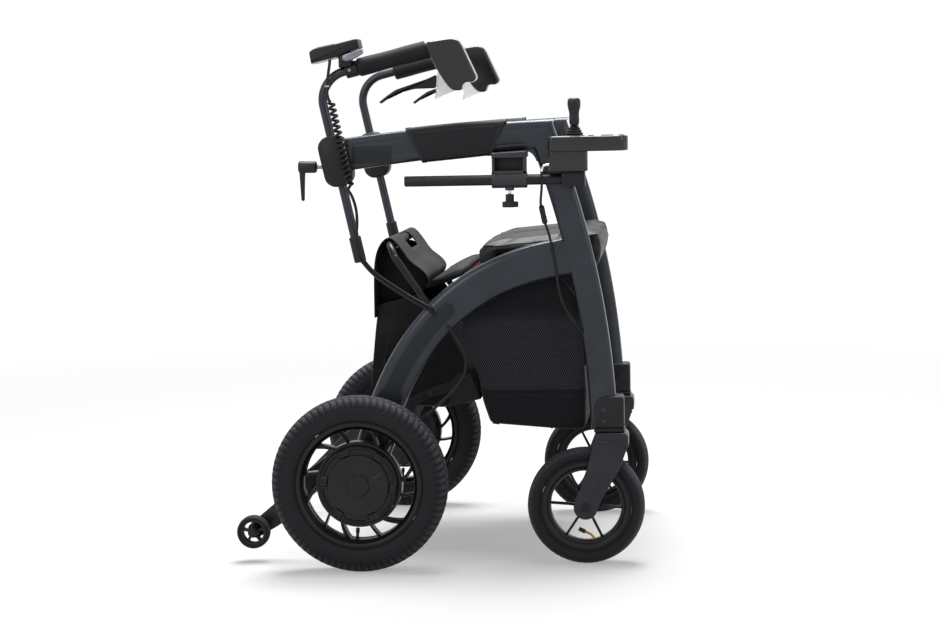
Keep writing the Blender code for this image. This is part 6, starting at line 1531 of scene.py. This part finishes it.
case_points, case_faces = sack(CASE_OUTLINE, CASE_HALF, case_bend, 150, case_mouth, case_shape, 0.008)
case = draped("battery_bag_cloth", case_points, case_faces, BAG_CLOTH, "right_frame", 0.0012, stands_for="battery_bag", sharp=60)
rim = case_lean(rim_line(CASE_OUTLINE, CASE_HALF, case_bend, 150, 0.008))
parts = [skin(carried(np.vstack([side_rim, side_rim[:1]]), round_section(0.0014, 8))[:-1], loop=True) for side_rim in (rim, rim * (1, -1, 1))]
parts += [sewn(case_lean(route([(0.0494, y, 0.4480), (0.0400, y, 0.4100), (0.0246, y, 0.3345), (0.0150, y, 0.2850)], 0.004)), 0.0010) for y in (-0.1506, 0.1506)]
case_piping = piece("battery_bag_piping", parts, PIPING, "right_frame", slot="bag_fabric")
web = softened([(0.0085, -0.0006), (0.0085, 0.0006), (-0.0085, 0.0006), (-0.0085, -0.0006)], 0.0004, 2)
tape = route([(0.0644, -0.1512, 0.2645), (0.1005, -0.1516, 0.2849), (0.1446, -0.1516, 0.2997), (0.1650, -0.1512, 0.3180)], 0.004)
strap = piece("battery_bag_strap", [skin(carried(tape, web, (0, 0, 1)))], BINDING, "right_frame", slot="bag_fabric")
patch = slab([(0.1360, 0.2625), (0.1530, 0.3050), (0.1640, 0.3150), (0.1790, 0.3210), (0.1955, 0.2762)], -0.1512, -0.1496, "Y", 0.003, 0.0005)
patch = piece("battery_bag_patch", [patch], BINDING, "right_frame", slot="bag_fabric")
ring = softened([(0.0975, 0.2760), (0.1120, 0.2810), (0.1085, 0.2930), (0.0940, 0.2880)], 0.002, 3)
buckle = piece("battery_bag_buckle", [slab(ring, -0.1548, -0.1525, "Y", 0.001, 0.0008)], GREY_NYLON, "right_frame", slot="black_plastic")
for made in (case, case_piping, strap, patch, buckle):
    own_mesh(made)
print("bags done:", len(net_points), len(case_points), "points")


# %% [markdown]
# Cables. The control cable leaves the display unit, is coiled along the handle stem so that it can
# stretch when the handle is raised, runs down through the arc tube and ends at the motor. The joystick
# cable hangs from its housing over an inline connector to the leg. Both are held at both ends.


# %% Cables
WIRE, COIL_RADIUS = 0.0026, 0.0050
COIL_LINE = route([(-0.0430, -0.2575, 0.8050), (-0.0390, -0.2592, 0.7980), (-0.0270, -0.2606, 0.7430), (-0.0110, -0.2605, 0.6660), (-0.0105, -0.2590, 0.6600)], 0.0005)


def coiled(line, radius, count, lead):
    """A helix round a line: count turns, opening from nothing and closing again over the lead length."""
    far = np.r_[0, np.cumsum(np.linalg.norm(np.diff(line, axis=0), axis=1))]
    wanted = np.linspace(0, far[-1], count * 22)
    middle = np.stack([np.interp(wanted, far, line[:, i]) for i in range(3)], -1)
    share = wanted / far[-1]
    angle = 2 * math.pi * count * (share + 0.10 * np.clip(share - 0.45, 0, 1) ** 1.2)
    open_by = radius * eased(0, lead, wanted) * eased(0, lead, far[-1] - wanted)
    way = (line[-1] - line[0]) / np.linalg.norm(line[-1] - line[0])
    side = np.cross(way, (0, 1, 0))
    side /= np.linalg.norm(side)
    return middle + open_by[:, None] * (np.cos(angle)[:, None] * side + np.sin(angle)[:, None] * np.cross(way, side))


def cable(name, points, body, radius=WIRE, step=0.004, material=None):
    path = route(points, step) if step else np.asarray(points)
    return piece(name, [skin(carried(path, round_section(radius, 12)))], material or CABLE_PVC, body, slot="black_plastic")


UPPER = [(-0.0420, -0.2470, 0.8757), (-0.0423, -0.2475, 0.8690), (-0.0455, -0.2510, 0.8450), (-0.0470, -0.2540, 0.8230), (-0.0455, -0.2560, 0.8120), (-0.0430, -0.2575, 0.8052)]
ON_FRAME = [
    (-0.0110, -0.2590, 0.6590), (-0.0140, -0.2580, 0.6530), (-0.0085, -0.2540, 0.6419), (-0.0030, -0.2500, 0.6212),
    (-0.0020, -0.2455, 0.5960), (-0.0050, -0.2455, 0.5600), (-0.0010, -0.2455, 0.5380), (0.0063, -0.2465, 0.5270),
    (0.0300, -0.2480, 0.5020), (0.0800, -0.2500, 0.4680), (0.1180, -0.2525, 0.4455), (0.1260, -0.2494, 0.4391),
    (0.1335, -0.2421, 0.4318), (0.1400, -0.2358, 0.4255), (0.1420, -0.2358, 0.4235), (0.1485, -0.2422, 0.4171),
    (0.1560, -0.2494, 0.4099), (0.1660, -0.2520, 0.3960), (0.1788, -0.2530, 0.3726), (0.1816, -0.2535, 0.3484),
    (0.1764, -0.2540, 0.3290), (0.1611, -0.2545, 0.3082), (0.1380, -0.2550, 0.2857), (0.1217, -0.2555, 0.2708),
    (0.0985, -0.2560, 0.2545), (0.0620, -0.2565, 0.2260), (0.0380, -0.2560, 0.2040), (0.0240, -0.2520, 0.1900), (0.0185, -0.2490, 0.1845),
]
twin = np.array(ON_FRAME[6:11])
way = twin[-1] - twin[0]
beside = np.array([-way[2], 0.0, way[0]]) / np.linalg.norm(way) * 0.0046
lower_parts = [skin(carried(route(ON_FRAME, 0.004), round_section(WIRE, 12))), skin(carried(route(np.vstack([twin + beside, twin[-1:] + (0.006, 0.004, -0.004)]), 0.004), round_section(0.0021, 12)))]
upper = cable("control_cable_upper", UPPER, None)
coil = cable("control_cable_coil", coiled(COIL_LINE, COIL_RADIUS, 16, 0.008), None, 0.0024, None)
lower = piece("control_cable_lower", lower_parts, CABLE_PVC, "right_frame", slot="black_plastic")
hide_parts("control_cable")
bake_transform(upper)
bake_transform(coil)

FALL = [(0.3189, -0.2786, 0.6790), (0.3189, -0.2788, 0.6551), (0.3160, -0.2680, 0.6290), (0.3160, -0.2560, 0.6190)]
PLUG = [(0.3158, -0.2562, 0.6215), (0.3162, -0.2555, 0.6196), (0.3190, -0.2535, 0.6050), (0.3220, -0.2525, 0.5910), (0.3223, -0.2525, 0.5895)]
ON_LEG = [
    (0.3220, -0.2525, 0.5910), (0.3287, -0.2510, 0.5695), (0.3346, -0.2500, 0.5371), (0.3390, -0.2500, 0.5115), (0.3425, -0.2500, 0.4790),
    (0.3500, -0.2510, 0.4530), (0.3620, -0.2520, 0.4310), (0.3725, -0.2508, 0.4155), (0.3790, -0.2463, 0.4069), (0.3850, -0.2417, 0.3983),
]
plug_path = route(PLUG, 0.0012)
plug_share = np.linspace(0, 1, len(plug_path))
plug_radius = 0.0022 + 0.0026 * eased(0.0, 0.10, plug_share) * eased(0.0, 0.06, 1 - plug_share) + 0.0003 * np.cos(2 * math.pi * 9 * plug_share) * (plug_share > 0.62)
plug_radius -= 0.0007 * np.exp(-(((plug_share - 0.50) / 0.02) ** 2))
cable("joystick_cable_fall", FALL, "side_control", 0.0022)
leg_cable = cable("joystick_cable_on_leg", ON_LEG, None, 0.0022)
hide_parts("joystick_cable")
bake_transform(leg_cable)
piece("joystick_cable_connector", [skin(carried(plug_path, round_section(1.0, 20)[None] * plug_radius[:, None, None]))], BLACK_NYLON, "side_control", slot="black_plastic")


def cable_tie(middle, way, radius, tail):
    """A loop of nylon strap round a cable, with its square lock and cut-off tail."""
    way = np.asarray(way, float) / np.linalg.norm(way)
    side = np.cross(way, (0.0, 1.0, 0.0))
    side /= np.linalg.norm(side)
    up = np.cross(side, way)
    angle = np.linspace(0, 2 * math.pi, 28, endpoint=False)
    ring = np.asarray(middle) + radius * (np.cos(angle)[:, None] * side + np.sin(angle)[:, None] * up)
    strip = softened([(0.0012, -0.0004), (0.0012, 0.0004), (-0.0012, 0.0004), (-0.0012, -0.0004)], 0.0002, 2)
    loop = carried(np.vstack([ring, ring[:1]]), strip, way)[:-1]
    lock = ring[tail] * 1.0
    return [skin(loop, loop=True), bar(lock - way * 0.0016, lock + way * 0.0016, 0.0017, 4, 0.0003)]


ties = []
for i in (19, 22, 24):
    here, after = np.array(ON_FRAME[i]), np.array(ON_FRAME[i + 1])
    ties += cable_tie(here, after - here, WIRE + 0.0006, 7)
piece("cable_ties", ties, BLACK_NYLON, "right_frame", slot="black_plastic")
pale_tie = cable_tie((-0.0467, -0.2530, 0.8300), (0, 0, 1), WIRE + 0.0006, 3)
piece("cable_tie_pale", pale_tie, PALE_NYLON_AND_UNDERSIDE_LIGHT, "right_stem_foot", slot="black_plastic")
print("cables done")
